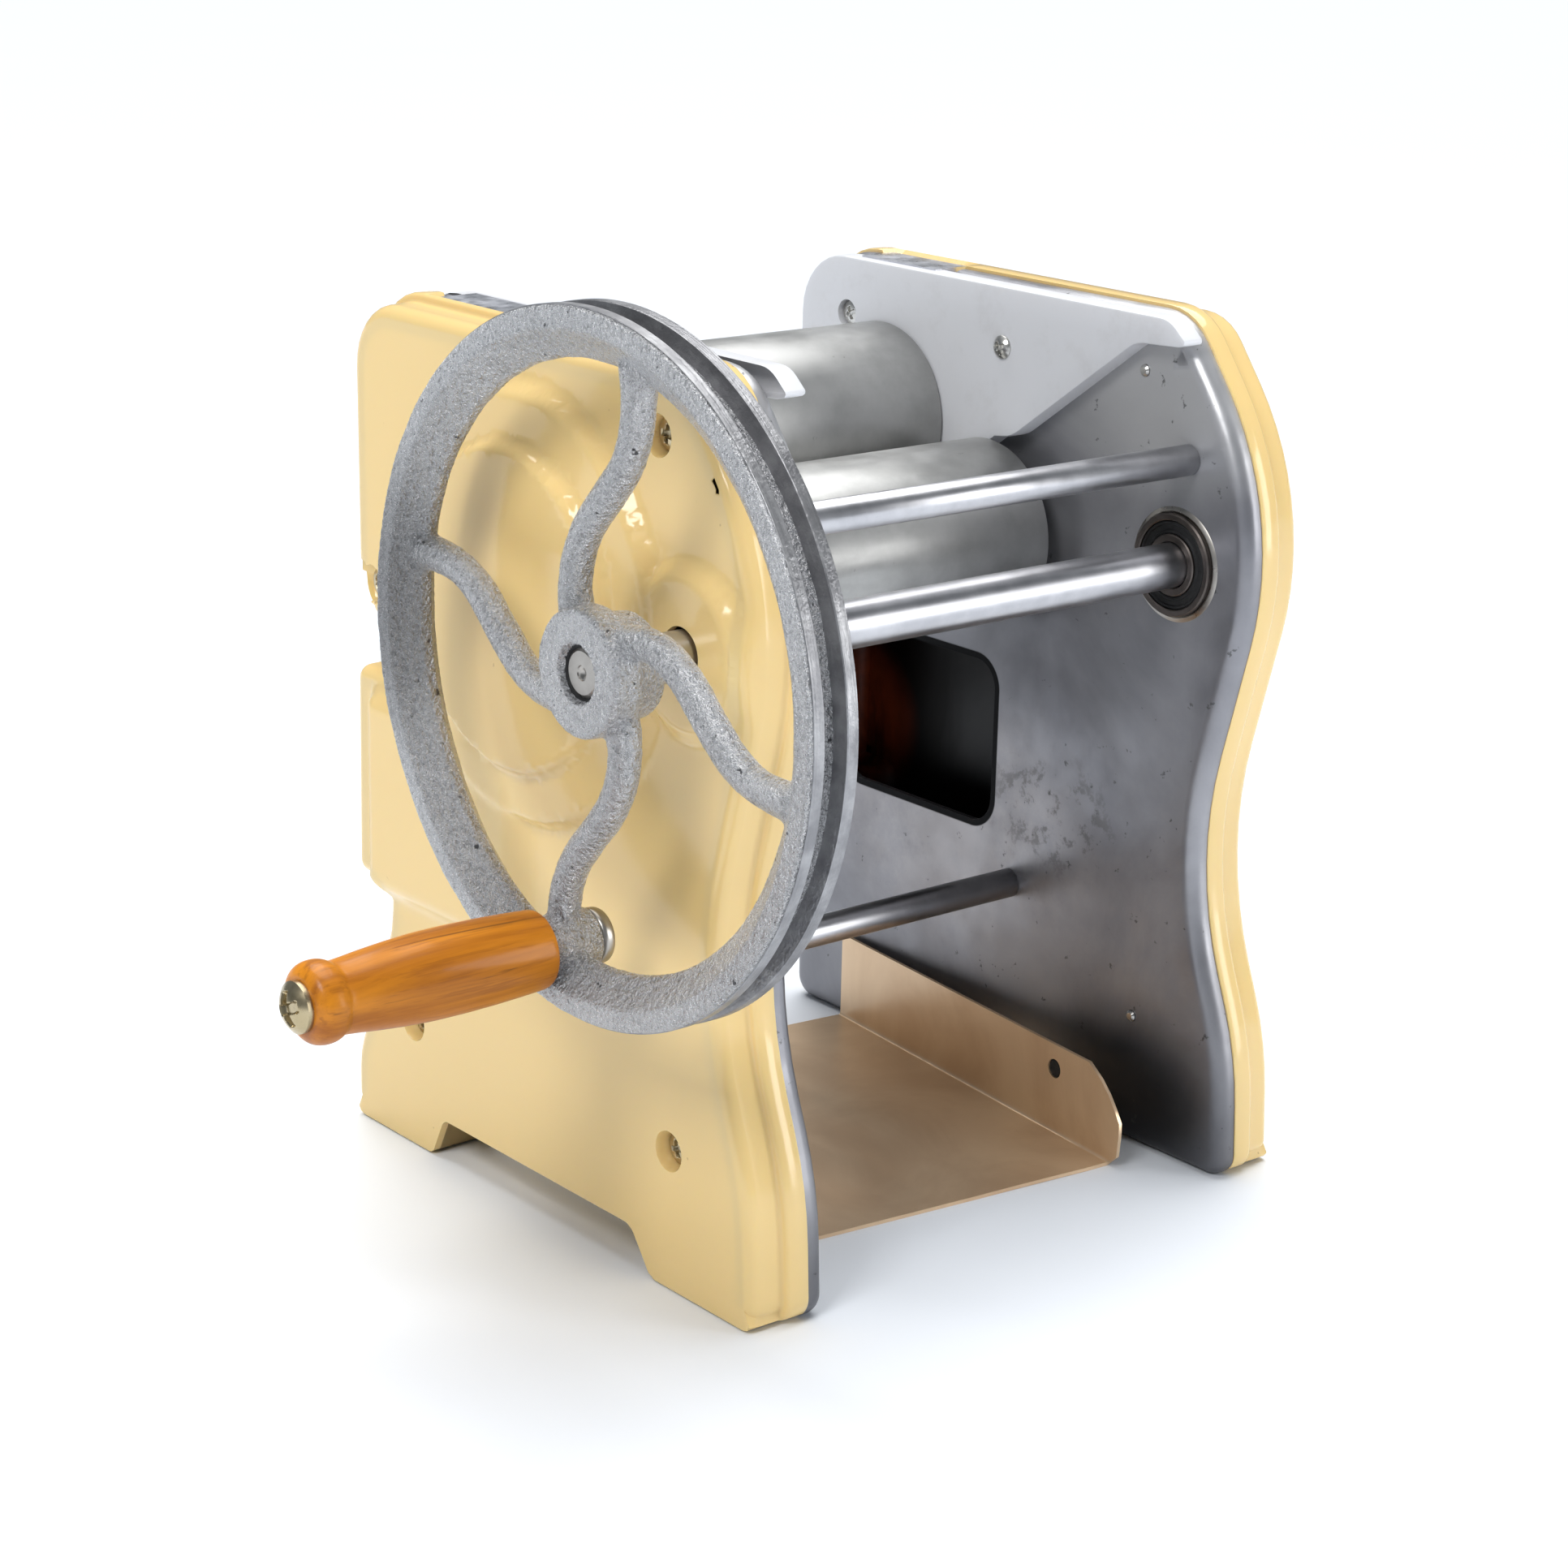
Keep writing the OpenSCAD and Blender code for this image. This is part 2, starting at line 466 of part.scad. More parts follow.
// ---- thickness adjuster
module adjuster_shaft() color([0.7, 0.7, 0.72]) at([adj_y, adj_z])
    difference() {
        rod(-plate_x - 9.6, plate_x + 9.6 + end_x - 4, 6);
        rod(end_x - 10, 7, 3.4);
    }
// groove whose radius grows evenly as the cam turns
groove_end = 26;                   // how far the groove runs on past the pin at both ends
function scroll(side) = [for (a = [-groove_end:6:adj_turn + groove_end])
    let (r = scroll_r + roller_travel * a / adj_turn + side) r * [cos(lean - a), sin(lean - a)]];
function backwards(v) = [for (i = [len(v) - 1:-1:0]) v[i]];
groove_w = pin_d + 0.3;
module scroll_cam() difference() {
    rod(plate_x + plate_t + 4.2, 2.8, 25);
    slab(plate_x + plate_t + 4, 4)
        polygon(concat(scroll(groove_w / 2), backwards(scroll(-groove_w / 2))));
    rod(plate_x + plate_t + 4, 4, 6);
}
module scroll_cams() color([0.6, 0.6, 0.62]) at([adj_y, adj_z]) {
    scroll_cam();
    mirror([1, 0, 0]) scroll_cam();
}
module thickness_knob() color([0.12, 0.12, 0.12]) at([adj_y, adj_z]) difference() {
    union() {
        rod(face_x + 1, 3, 30);
        rod(face_x + 1, knob_len, 24);
    }
    for (k = [0:11]) rotate([30 * k, 0, 0]) translate([0, 13, 0]) rod(face_x + 4.5, knob_len, 4);
    rod(face_x, knob_len - 3, 6.01);
    rod(end_x - 2, 3, 9);
    rod(end_x - 5, 6, 3.6);
    translate([end_x - 0.6, 5, -0.7]) cube([1, 6, 1.4]);
}
module knob_screw() color([0.7, 0.7, 0.72]) at([adj_y, adj_z]) difference() {
    union() {
        rod(end_x - 2, 1.6, 7);
        rod(end_x - 9.5, 7.6, 3.4);
    }
    for (a = [0, 90]) rotate([a, 0, 0]) translate([end_x - 1.2, -2, -0.4]) cube([2, 4, 0.8]);
}

// ---- tray
tray_t = 1;
module tray_wall() rotate([90, 0, 90]) linear_extrude(tray_t) difference() {
    polygon(rounded([[1, 0, 3, 0], [tray_l, 0, 1, 0], [tray_l, tray_h, 4, 0], [8, tray_h, 3, 0],
        [-3.4, tray_h * 0.5, 3, 0], [-2.8, tray_h * 0.22, 3, 0]]));
    translate([27, tray_h * 0.69]) circle(d = 5.6, $fn = 32);
}
module catch_tray() color([0.6, 0.5, 0.42]) at() translate([54.9, -54.9, 0]) rotate([0, 0, tray_turn]) {
    translate([-tray_w, 0, 0]) cube([tray_w, tray_l, tray_t]);
    translate([-tray_t, 0, 0]) tray_wall();
    translate([-tray_w, 0, 0]) tray_wall();
}

near_side_plate();
far_side_plate();
near_cover();
far_cover();
tie_rod_upper();
tie_rod_lower();
tie_rod_rear();
tie_rod_screws();
near_cheek();
far_cheek();
cheek_screws();
cover_screws();
crank_bearings();
bearing_seals();
bearing_housings();
roller_bushes();
block_guides();
scrapers();
top_strips();
crank_shaft();
handwheel();
hub_set_screw();
pinion();
shaft_circlips();
handle_bolt();
handle_nut();
handle_grip();
front_roller();
drive_gear();
front_mesh_gear();
front_gear_screws();
slide_blocks();
rear_roller();
rear_mesh_gear();
rear_gear_screw();
adjuster_shaft();
scroll_cams();
thickness_knob();
knob_screw();
catch_tray();
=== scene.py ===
import json
import math

import bmesh
import bpy
import numpy as np
from mathutils import Matrix, Vector, geometry, noise


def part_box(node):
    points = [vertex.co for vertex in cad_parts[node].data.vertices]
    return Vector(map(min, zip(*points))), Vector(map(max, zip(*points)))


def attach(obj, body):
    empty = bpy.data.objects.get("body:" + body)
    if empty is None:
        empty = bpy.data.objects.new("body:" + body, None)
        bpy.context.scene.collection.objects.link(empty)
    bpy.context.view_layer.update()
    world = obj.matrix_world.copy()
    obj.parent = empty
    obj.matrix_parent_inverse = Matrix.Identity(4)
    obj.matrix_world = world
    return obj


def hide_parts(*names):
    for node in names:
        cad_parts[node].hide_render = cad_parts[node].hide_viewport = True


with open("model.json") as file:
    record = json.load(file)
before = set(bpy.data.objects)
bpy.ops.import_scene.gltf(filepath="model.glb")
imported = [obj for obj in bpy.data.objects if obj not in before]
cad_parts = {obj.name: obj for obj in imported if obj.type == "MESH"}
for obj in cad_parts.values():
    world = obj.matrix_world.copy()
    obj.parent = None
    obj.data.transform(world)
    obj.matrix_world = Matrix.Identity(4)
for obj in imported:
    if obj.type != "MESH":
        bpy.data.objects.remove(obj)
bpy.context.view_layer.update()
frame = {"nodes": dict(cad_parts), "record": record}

# Looks of a hand-cranked dough sheeter. Lengths are in millimetres of the shared frame until
# make() turns them into metres: X along the rollers, -Y the front, Z up.
MM = 0.001


# ---------------------------------------------------------------- places taken from the frame
def box_mm(node):
    low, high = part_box(node)
    return Vector(low) / MM, Vector(high) / MM


def joint_axis(name):
    joint = next(j for j in frame["record"]["behaviour"]["joints"] if j["name"] == name)
    return Vector(joint["pos_m"][1:]) / MM


def loops_at(node, x, tol=0.05):
    """Closed outlines, as (y, z) points, of a CAD node's faces in the plane x, longest first."""
    mesh = frame["nodes"][node].data
    edges = set()
    for poly in mesh.polygons:
        corners = [mesh.vertices[i].co / MM for i in poly.vertices]
        if all(abs(c.x - x) < tol for c in corners):
            keys = [(round(c.y, 2), round(c.z, 2)) for c in corners]
            edges.update((a, b) for a, b in zip(keys, keys[1:] + keys[:1]) if a != b)
    after = dict(e for e in edges if (e[1], e[0]) not in edges)
    loops = []
    while after:
        start, point = after.popitem()
        loop = [start]
        while point != start and point in after:
            loop.append(point)
            point = after.pop(point)
        loops.append([Vector(p) for p in loop])
    loops = [lp if area(lp) > 0 else lp[::-1] for lp in loops if len(lp) > 2]
    return sorted(loops, key=lambda lp: -abs(area(lp)))


def area(loop):
    return sum(a.x * b.y - b.x * a.y for a, b in zip(loop, loop[1:] + loop[:1])) / 2


NEAR, FAR = -1, 1
near_low, near_high = box_mm("near_side_plate")
far_low, far_high = box_mm("far_side_plate")
MID = (near_high.x + far_low.x) / 2
PLATE = far_low.x - MID                    # inner face of a side plate, from the middle
RIM = far_high.x - MID                     # open edge of its pressed rim
TOP = far_high.z
FLANGE = RIM + 6.5                         # outer edge of the cover's flange
COVER = RIM + 16.4                         # face of the covers
SHAFT = joint_axis("crank_spin")
FRONT = joint_axis("front_roller_spin")
REAR = joint_axis("rear_roller_spin")
GRIP = joint_axis("grip_spin")
KNOB = joint_axis("adjuster_turn")
RODS = [(a + b).yz / 2 for a, b in (box_mm(n) for n in ("tie_rod_upper", "tie_rod_lower", "tie_rod_rear"))]
WHEEL_LOW, WHEEL_HIGH = box_mm("handwheel")
WHEEL_X = WHEEL_LOW.x
if WHEEL_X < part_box("handle_grip")[1][0] / MM:
    WHEEL_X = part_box("handle_grip")[1][0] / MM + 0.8
WHEEL_R = (WHEEL_HIGH.z - WHEEL_LOW.z) / 2
RIM_W = 14


def window_box():
    """Corners, as (y, z), of the rectangular window in the side plates."""
    loop = loops_at("far_side_plate", MID + PLATE)[1]
    return [tuple(pick(p[i] for p in loop) for i in (0, 1)) for pick in (min, max)]


# ---------------------------------------------------------------- meshes
def make(name, verts, faces, material, body, stands_for=(), angle=32):
    mesh = bpy.data.meshes.new(name)
    mesh.from_pydata([Vector(v) * MM for v in verts], [], faces)
    mesh.validate()
    return finish_piece(name, mesh, material, body, stands_for, angle)


def finish_piece(name, mesh, material, body, stands_for=(), angle=32):
    obj = bpy.data.objects.new(name, mesh)
    bpy.context.scene.collection.objects.link(obj)
    bm = bmesh.new()
    bm.from_mesh(mesh)
    bmesh.ops.remove_doubles(bm, verts=bm.verts, dist=0.01 * MM)
    bmesh.ops.recalc_face_normals(bm, faces=bm.faces)
    bm.to_mesh(mesh)
    bm.free()
    mesh.shade_smooth()
    mesh.set_sharp_from_angle(angle=math.radians(angle))
    mesh.materials.append(material)
    if body:
        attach(obj, body)
    if stands_for:
        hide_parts(*stands_for)
    return obj


def add_modifier(obj, kind, **values):
    mod = obj.modifiers.new(kind.title(), kind)
    for key, value in values.items():
        setattr(mod, key, value)
    return mod


def apply_modifiers(obj, angle=32):
    depsgraph = bpy.context.evaluated_depsgraph_get()
    mesh = bpy.data.meshes.new_from_object(obj.evaluated_get(depsgraph))
    obj.modifiers.clear()
    obj.data = mesh
    mesh.shade_smooth()
    mesh.set_sharp_from_angle(angle=math.radians(angle))


def lathe_parts(centre, profile, steps=96):
    """Vertices and faces of a profile of (x, radius) points turned about an X axis."""
    verts, faces, rows = [], [], []
    for x, r in profile:
        if r < 1e-6:
            rows.append([len(verts)] * steps)
            verts.append((x, centre.x, centre.y))
            continue
        rows.append(list(range(len(verts), len(verts) + steps)))
        for k in range(steps):
            a = 2 * math.pi * k / steps
            verts.append((x, centre.x + r * math.cos(a), centre.y + r * math.sin(a)))
    for a, b in zip(rows, rows[1:]):
        for k in range(steps):
            j = (k + 1) % steps
            quad = [a[k], a[j], b[j], b[k]]
            quad = [q for i, q in enumerate(quad) if q not in quad[:i]]
            if len(quad) > 2:
                faces.append(quad)
    return verts, faces


def lathe(name, centre, profile, material, body, stands_for=(), steps=96, angle=32):
    verts, faces = lathe_parts(centre, profile, steps)
    return make(name, verts, faces, material, body, stands_for, angle)


def rounded_profile(points, radius, steps=4):
    """An (x, r) profile whose inner corners are rounded."""
    out = [points[0]]
    for a, b, c in zip(points, points[1:], points[2:]):
        a, b, c = Vector(a), Vector(b), Vector(c)
        r = min(radius, 0.45 * (a - b).length, 0.45 * (c - b).length)
        p, q = b + (a - b).normalized() * r, b + (c - b).normalized() * r
        for k in range(steps + 1):
            t = k / steps
            out.append(tuple(p * (1 - t) ** 2 + b * 2 * t * (1 - t) + q * t ** 2))
    return out + [points[-1]]


def join_parts(parts):
    verts, faces = [], []
    for v, f in parts:
        base = len(verts)
        verts += v
        faces += [[i + base for i in face] for face in f]
    return verts, faces


def tube_parts(path, radii, steps=20):
    """A round tube along 3-D points, closed at both ends."""
    verts, faces = [], []
    up = Vector((1, 0, 0))
    for i, p in enumerate(path):
        t = (path[min(i + 1, len(path) - 1)] - path[max(i - 1, 0)]).normalized()
        side = t.cross(up).normalized()
        for k in range(steps):
            a = 2 * math.pi * k / steps
            verts.append(tuple(p + (up * math.cos(a) + side * math.sin(a)) * radii[i]))
    for i in range(len(path) - 1):
        for k in range(steps):
            j = (k + 1) % steps
            faces.append([i * steps + k, i * steps + j, (i + 1) * steps + j, (i + 1) * steps + k])
    faces.append(list(range(steps))[::-1])
    faces.append(list(range(len(verts) - steps, len(verts))))
    return verts, faces


def subdivided(loop, longest=3.0):
    out = []
    for a, b in zip(loop, loop[1:] + loop[:1]):
        n = max(1, math.ceil((b - a).length / longest))
        out += [a.lerp(b, k / n) for k in range(n)]
    return out


def everywhere(_point, _normal):
    return 1.0


def inset(loop, d, weight=everywhere):
    """The outline moved inwards by d, less where weight says so."""
    out = []
    for i, p in enumerate(loop):
        t1 = (p - loop[i - 1]).normalized()
        t2 = (loop[(i + 1) % len(loop)] - p).normalized()
        n1 = Vector((-t1.y, t1.x))
        m = (n1 + Vector((-t2.y, t2.x))).normalized()
        out.append(p + m * d * weight(p, m) / max(0.6, m.dot(n1)))
    return out


def inside(points, loop):
    """For each point, whether it is within the closed outline."""
    x, y = points[:, 0], points[:, 1]
    hit = np.zeros(len(points), bool)
    for a, b in zip(loop, loop[1:] + loop[:1]):
        if a.y != b.y:
            crossing = (a.y > y) != (b.y > y)
            hit ^= crossing & (x < (b.x - a.x) * (y - a.y) / (b.y - a.y) + a.x)
    return hit


def filled(loop, holes=(), spacing=3.0, extra=()):
    """Points and triangles that fill an outline, less its holes."""
    points, edges = [], []
    for lp in [loop, *holes]:
        base = len(points)
        points += lp
        edges += [(base + i, base + (i + 1) % len(lp)) for i in range(len(lp))]
    ys, zs = [p.x for p in loop], [p.y for p in loop]
    grid = np.array([(y, z) for y in np.arange(min(ys), max(ys), spacing)
                     for z in np.arange(min(zs), max(zs), spacing)])
    if len(extra):
        grid = np.vstack([grid, np.array([tuple(e) for e in extra])])
    keep = inside(grid, inset(loop, 0.5 * spacing))
    for hole in holes:
        keep &= ~inside(grid, inset(hole, -0.5 * spacing))
    points += [Vector(p) for p in grid[keep]]
    co, _, tris, *_ = geometry.delaunay_2d_cdt(points, edges, [], 0, 1e-3)
    middle = np.array([tuple(sum((co[i] for i in t), Vector((0, 0))) / 3) for t in tris])
    keep = inside(middle, loop)
    for hole in holes:
        keep &= ~inside(middle, hole)
    return co, [t for t, k in zip(tris, keep) if k]


def ring_points(centre, radius, count):
    return [centre + radius * Vector((math.cos(2 * math.pi * k / count), math.sin(2 * math.pi * k / count)))
            for k in range(count)]


def loft(rings):
    """Quads between closed rings of equal length."""
    n = len(rings[0])
    verts = [v for ring in rings for v in ring]
    faces = []
    for i in range(len(rings) - 1):
        for k in range(n):
            j = (k + 1) % n
            faces.append([i * n + k, i * n + j, (i + 1) * n + j, (i + 1) * n + k])
    return verts, faces


def smooth_step(low, high, value):
    t = min(1.0, max(0.0, (value - low) / (high - low)))
    return t * t * (3 - 2 * t)


def blended_max(*heights):
    """The largest of the heights, with a soft join where two of them meet."""
    return sum(max(h, 0.0) ** 5 for h in heights) ** 0.2


# ---------------------------------------------------------------- materials
class Material:
    """Builds a node material; values that are sockets are linked, others are set."""

    def __init__(self, name):
        self.mat = bpy.data.materials.new(name)
        self.mat.use_nodes = True
        self.tree = self.mat.node_tree
        self.bsdf = self.tree.nodes["Principled BSDF"]
        self.place = self.add("ShaderNodeTexCoord").outputs["Object"]

    def add(self, kind, props=None, **values):
        node = self.tree.nodes.new(kind)
        for key, value in (props or {}).items():
            setattr(node, key, value)
        for key, value in values.items():
            self.put(node.inputs[key.replace("_", " ")], value)
        return node

    def put(self, socket, value):
        if isinstance(value, bpy.types.NodeSocket):
            self.tree.links.new(value, socket)
        else:
            socket.default_value = value

    def shade(self, **values):
        for key, value in values.items():
            self.put(self.bsdf.inputs[key.replace("_", " ")], value)

    def scaled(self, x, y, z):
        node = self.add("ShaderNodeMapping", Vector=self.place, Scale=(x, y, z))
        return node.outputs["Vector"]

    def noise(self, scale, detail=4.0, rough=0.55, vector=None, distortion=0.0):
        node = self.add("ShaderNodeTexNoise", Vector=vector or self.place, Scale=scale,
                        Detail=detail, Roughness=rough, Distortion=distortion)
        return node.outputs["Fac"]

    def math(self, operation, a, b=0.0):
        node = self.add("ShaderNodeMath", {"operation": operation})
        self.put(node.inputs[0], a)
        self.put(node.inputs[1], b)
        return node.outputs[0]

    def between(self, value, low, high, to_low=0.0, to_high=1.0):
        node = self.add("ShaderNodeMapRange", {"interpolation_type": "SMOOTHSTEP"}, Value=value)
        for key, v in (("From Min", low), ("From Max", high), ("To Min", to_low), ("To Max", to_high)):
            node.inputs[key].default_value = v
        return node.outputs[0]

    def mix(self, fac, a, b):
        node = self.add("ShaderNodeMix", {"data_type": "RGBA"})
        self.put(node.inputs[0], fac)
        self.put(node.inputs[6], a)
        self.put(node.inputs[7], b)
        return node.outputs[2]

    def bump(self, height, distance, strength=1.0, normal=None):
        node = self.add("ShaderNodeBump", Height=height, Distance=distance, Strength=strength)
        if normal:
            self.put(node.inputs["Normal"], normal)
        return node.outputs["Normal"]

    def near(self, centre, reach):
        """1 at a point of the frame's (y, z), falling to 0 at its reach in y and z."""
        axes = self.add("ShaderNodeSeparateXYZ", Vector=self.place).outputs
        square = 0.0
        for axis, c, r in zip(axes[1:], centre, reach):
            part = self.math("DIVIDE", self.math("SUBTRACT", axis, c * MM), r * MM)
            square = self.math("ADD", square, self.math("POWER", part, 2.0))
        return self.between(square, 0.0, 1.0, 1.0, 0.0)

    def box_edge(self, low, high, corner):
        """Distance, in millimetres, from the edge of a rounded rectangle in the (y, z) plane."""
        axes = self.add("ShaderNodeSeparateXYZ", Vector=self.place).outputs
        square = 0.0
        for axis, a, b in zip(axes[1:], low, high):
            off = self.math("ABSOLUTE", self.math("SUBTRACT", axis, (a + b) / 2 * MM))
            past = self.math("MAXIMUM", self.math("SUBTRACT", off, ((b - a) / 2 - corner) * MM), 0.0)
            square = self.math("ADD", square, self.math("POWER", past, 2.0))
        return self.math("SUBTRACT", self.math("DIVIDE", self.math("SQRT", square), MM), corner)


def rgb(r, g, b):
    return (r, g, b, 1.0)


def cream_plastic():
    m = Material("cream_plastic")
    cloud = m.noise(7, 2)
    colour = m.mix(cloud, rgb(0.82, 0.585, 0.24), rgb(0.89, 0.66, 0.30))
    dust = m.between(m.noise(300, 1, 0.5), 0.80, 0.82)
    colour = m.mix(m.math("MULTIPLY", dust, 0.5), colour, rgb(0.42, 0.24, 0.10))
    m.shade(Base_Color=colour, Roughness=m.between(cloud, 0.3, 0.7, 0.12, 0.17),
            Normal=m.bump(m.noise(60, 2), 0.0002, 0.35),
            Subsurface_Weight=0.12, Subsurface_Scale=0.004, Subsurface_Radius=(1.0, 0.55, 0.15),
            IOR=1.5)
    return m.mat


def cover_inside_painted_shade():
    """Inside of the covers: painted near black as shade, with painted reddish-brown light coming through the
    plastic near the back.
    """
    m = Material("cover_inside_painted_shade")
    # painted shade: the inside of the covers near black, with painted light in reddish-brown patches near
    # the back, where light comes through the plastic
    blotches = m.noise(30, 5, 0.65, m.scaled(1, 1, 0.35), 0.8)
    painted_glow = m.math("MULTIPLY", m.near((118, 90), (32, 28)), m.between(blotches, 0.30, 0.60))
    colour = m.mix(painted_glow, rgb(0.003, 0.002, 0.002), rgb(0.30, 0.05, 0.012))
    m.shade(Base_Color=colour, Roughness=m.between(blotches, 0.3, 0.7, 0.35, 0.55), Specular_IOR_Level=0.25)
    return m.mat


def cast_alloy():
    """Sand-cast aluminium: a bright grain with fine pits and a few larger ones; its low spots and the larger
    pits carry painted shade, and so does the rear part of the rim.
    """
    m = Material("cast_alloy")
    coarse = m.noise(650, 3, 0.55)
    fine = m.noise(1500, 3, 0.6)
    height = m.math("ADD", m.math("MULTIPLY", coarse, 0.6), m.math("MULTIPLY", fine, 0.4))
    # painted shade: the larger pits near black and the low spots of the grain darker
    pits = m.between(m.noise(330, 2), 0.25, 0.29)
    painted_hollow_shade = m.between(height, 0.36, 0.50)
    colour = m.mix(m.noise(40, 4), rgb(0.47, 0.47, 0.48), rgb(0.62, 0.62, 0.63))
    # painted shade: the rear part of the rim and spokes darker
    rear_painted_shade = m.near((68, 172), (46, 66))
    colour = m.mix(m.math("MULTIPLY", rear_painted_shade, 0.72), colour, rgb(0.12, 0.12, 0.125))
    # painted shade in the grain's low spots, then in the larger pits
    colour = m.mix(m.between(painted_hollow_shade, 0, 1, 0.30, 0.0), colour, rgb(0.12, 0.12, 0.125))
    colour = m.mix(pits, rgb(0.08, 0.08, 0.085), colour)
    m.shade(Base_Color=colour, Metallic=1.0, Roughness=m.between(fine, 0.3, 0.7, 0.36, 0.22),
            Normal=m.bump(m.math("MULTIPLY", height, m.between(pits, 0, 1, 0.7, 1.0)), 0.0035, 1.0))
    return m.mat


def machined_alloy():
    m = Material("machined_alloy")
    lines = m.noise(30, 3, 0.6, m.scaled(60, 1, 1))
    stain = m.noise(120, 4)
    colour = m.mix(m.between(stain, 0.35, 0.7), rgb(0.24, 0.24, 0.25), rgb(0.38, 0.38, 0.39))
    m.shade(Base_Color=colour, Metallic=0.9, Roughness=m.between(lines, 0.3, 0.7, 0.34, 0.50),
            Normal=m.bump(m.math("ADD", lines, m.noise(900, 2)), 0.0005, 0.35))
    return m.mat


def varnished_wood():
    m = Material("varnished_wood")
    grain = m.noise(40, 6, 0.62, m.scaled(0.14, 2.2, 2.2), 0.5)
    fibre = m.noise(520, 4, 0.7, m.scaled(0.05, 1, 1))
    streak = m.between(m.noise(22, 5, 0.6, m.scaled(0.16, 2.6, 2.6), 1.6), 0.62, 0.68)
    colour = m.mix(m.between(grain, 0.30, 0.70), rgb(0.33, 0.095, 0.005), rgb(0.70, 0.25, 0.012))
    colour = m.mix(m.math("MULTIPLY", m.between(fibre, 0.50, 0.66), 0.4), colour, rgb(0.20, 0.05, 0.004))
    colour = m.mix(m.math("MULTIPLY", streak, 0.65), colour, rgb(0.055, 0.016, 0.004))
    m.shade(Base_Color=colour, Roughness=0.42, Normal=m.bump(fibre, 0.0002, 0.25), Specular_IOR_Level=0.2,
            Coat_Weight=0.2, Coat_Roughness=0.16)
    return m.mat


def steel(name, dark, light, rough=(0.25, 0.4), stains=0.5, metallic=1.0, streaks=(1, 1, 1), scale=45):
    m = Material(name)
    cloud = m.noise(scale, 6, 0.65)
    line = m.noise(220, 3, 0.6, m.scaled(*streaks))
    spots = m.between(m.noise(190, 5, 0.7), 0.66, 0.74)
    colour = m.mix(m.between(cloud, 0.3, 0.7), rgb(*dark), rgb(*light))
    colour = m.mix(m.math("MULTIPLY", spots, stains), colour, rgb(0.10, 0.09, 0.08))
    rough_noise = m.math("ADD", m.math("MULTIPLY", cloud, 0.5), m.math("MULTIPLY", line, 0.5))
    m.shade(Base_Color=colour, Metallic=metallic,
            Roughness=m.between(rough_noise, 0.35, 0.65, rough[0], rough[1]),
            Normal=m.bump(line, 0.00008, 0.25))
    return m.mat


def nylon():
    m = Material("nylon")
    marks = m.between(m.noise(60, 5, 0.7), 0.5, 0.75)
    colour = m.mix(m.math("MULTIPLY", marks, 0.3), rgb(0.73, 0.735, 0.76), rgb(0.56, 0.55, 0.55))
    m.shade(Base_Color=colour, Roughness=0.38, Normal=m.bump(m.noise(500, 2), 0.00006, 0.3),
            Subsurface_Weight=0.1, Subsurface_Scale=0.003, Subsurface_Radius=(1.0, 0.9, 0.8))
    return m.mat


def plain(name, colour, rough=0.5, metallic=0.0, scale=300):
    m = Material(name)
    grain = m.noise(scale, 3)
    dark = [c * 0.7 for c in colour]
    m.shade(Base_Color=m.mix(grain, rgb(*dark), rgb(*colour)), Metallic=metallic,
            Roughness=m.between(grain, 0.3, 0.7, rough * 0.85, rough * 1.15),
            Normal=m.bump(grain, 0.00005, 0.3))
    return m.mat


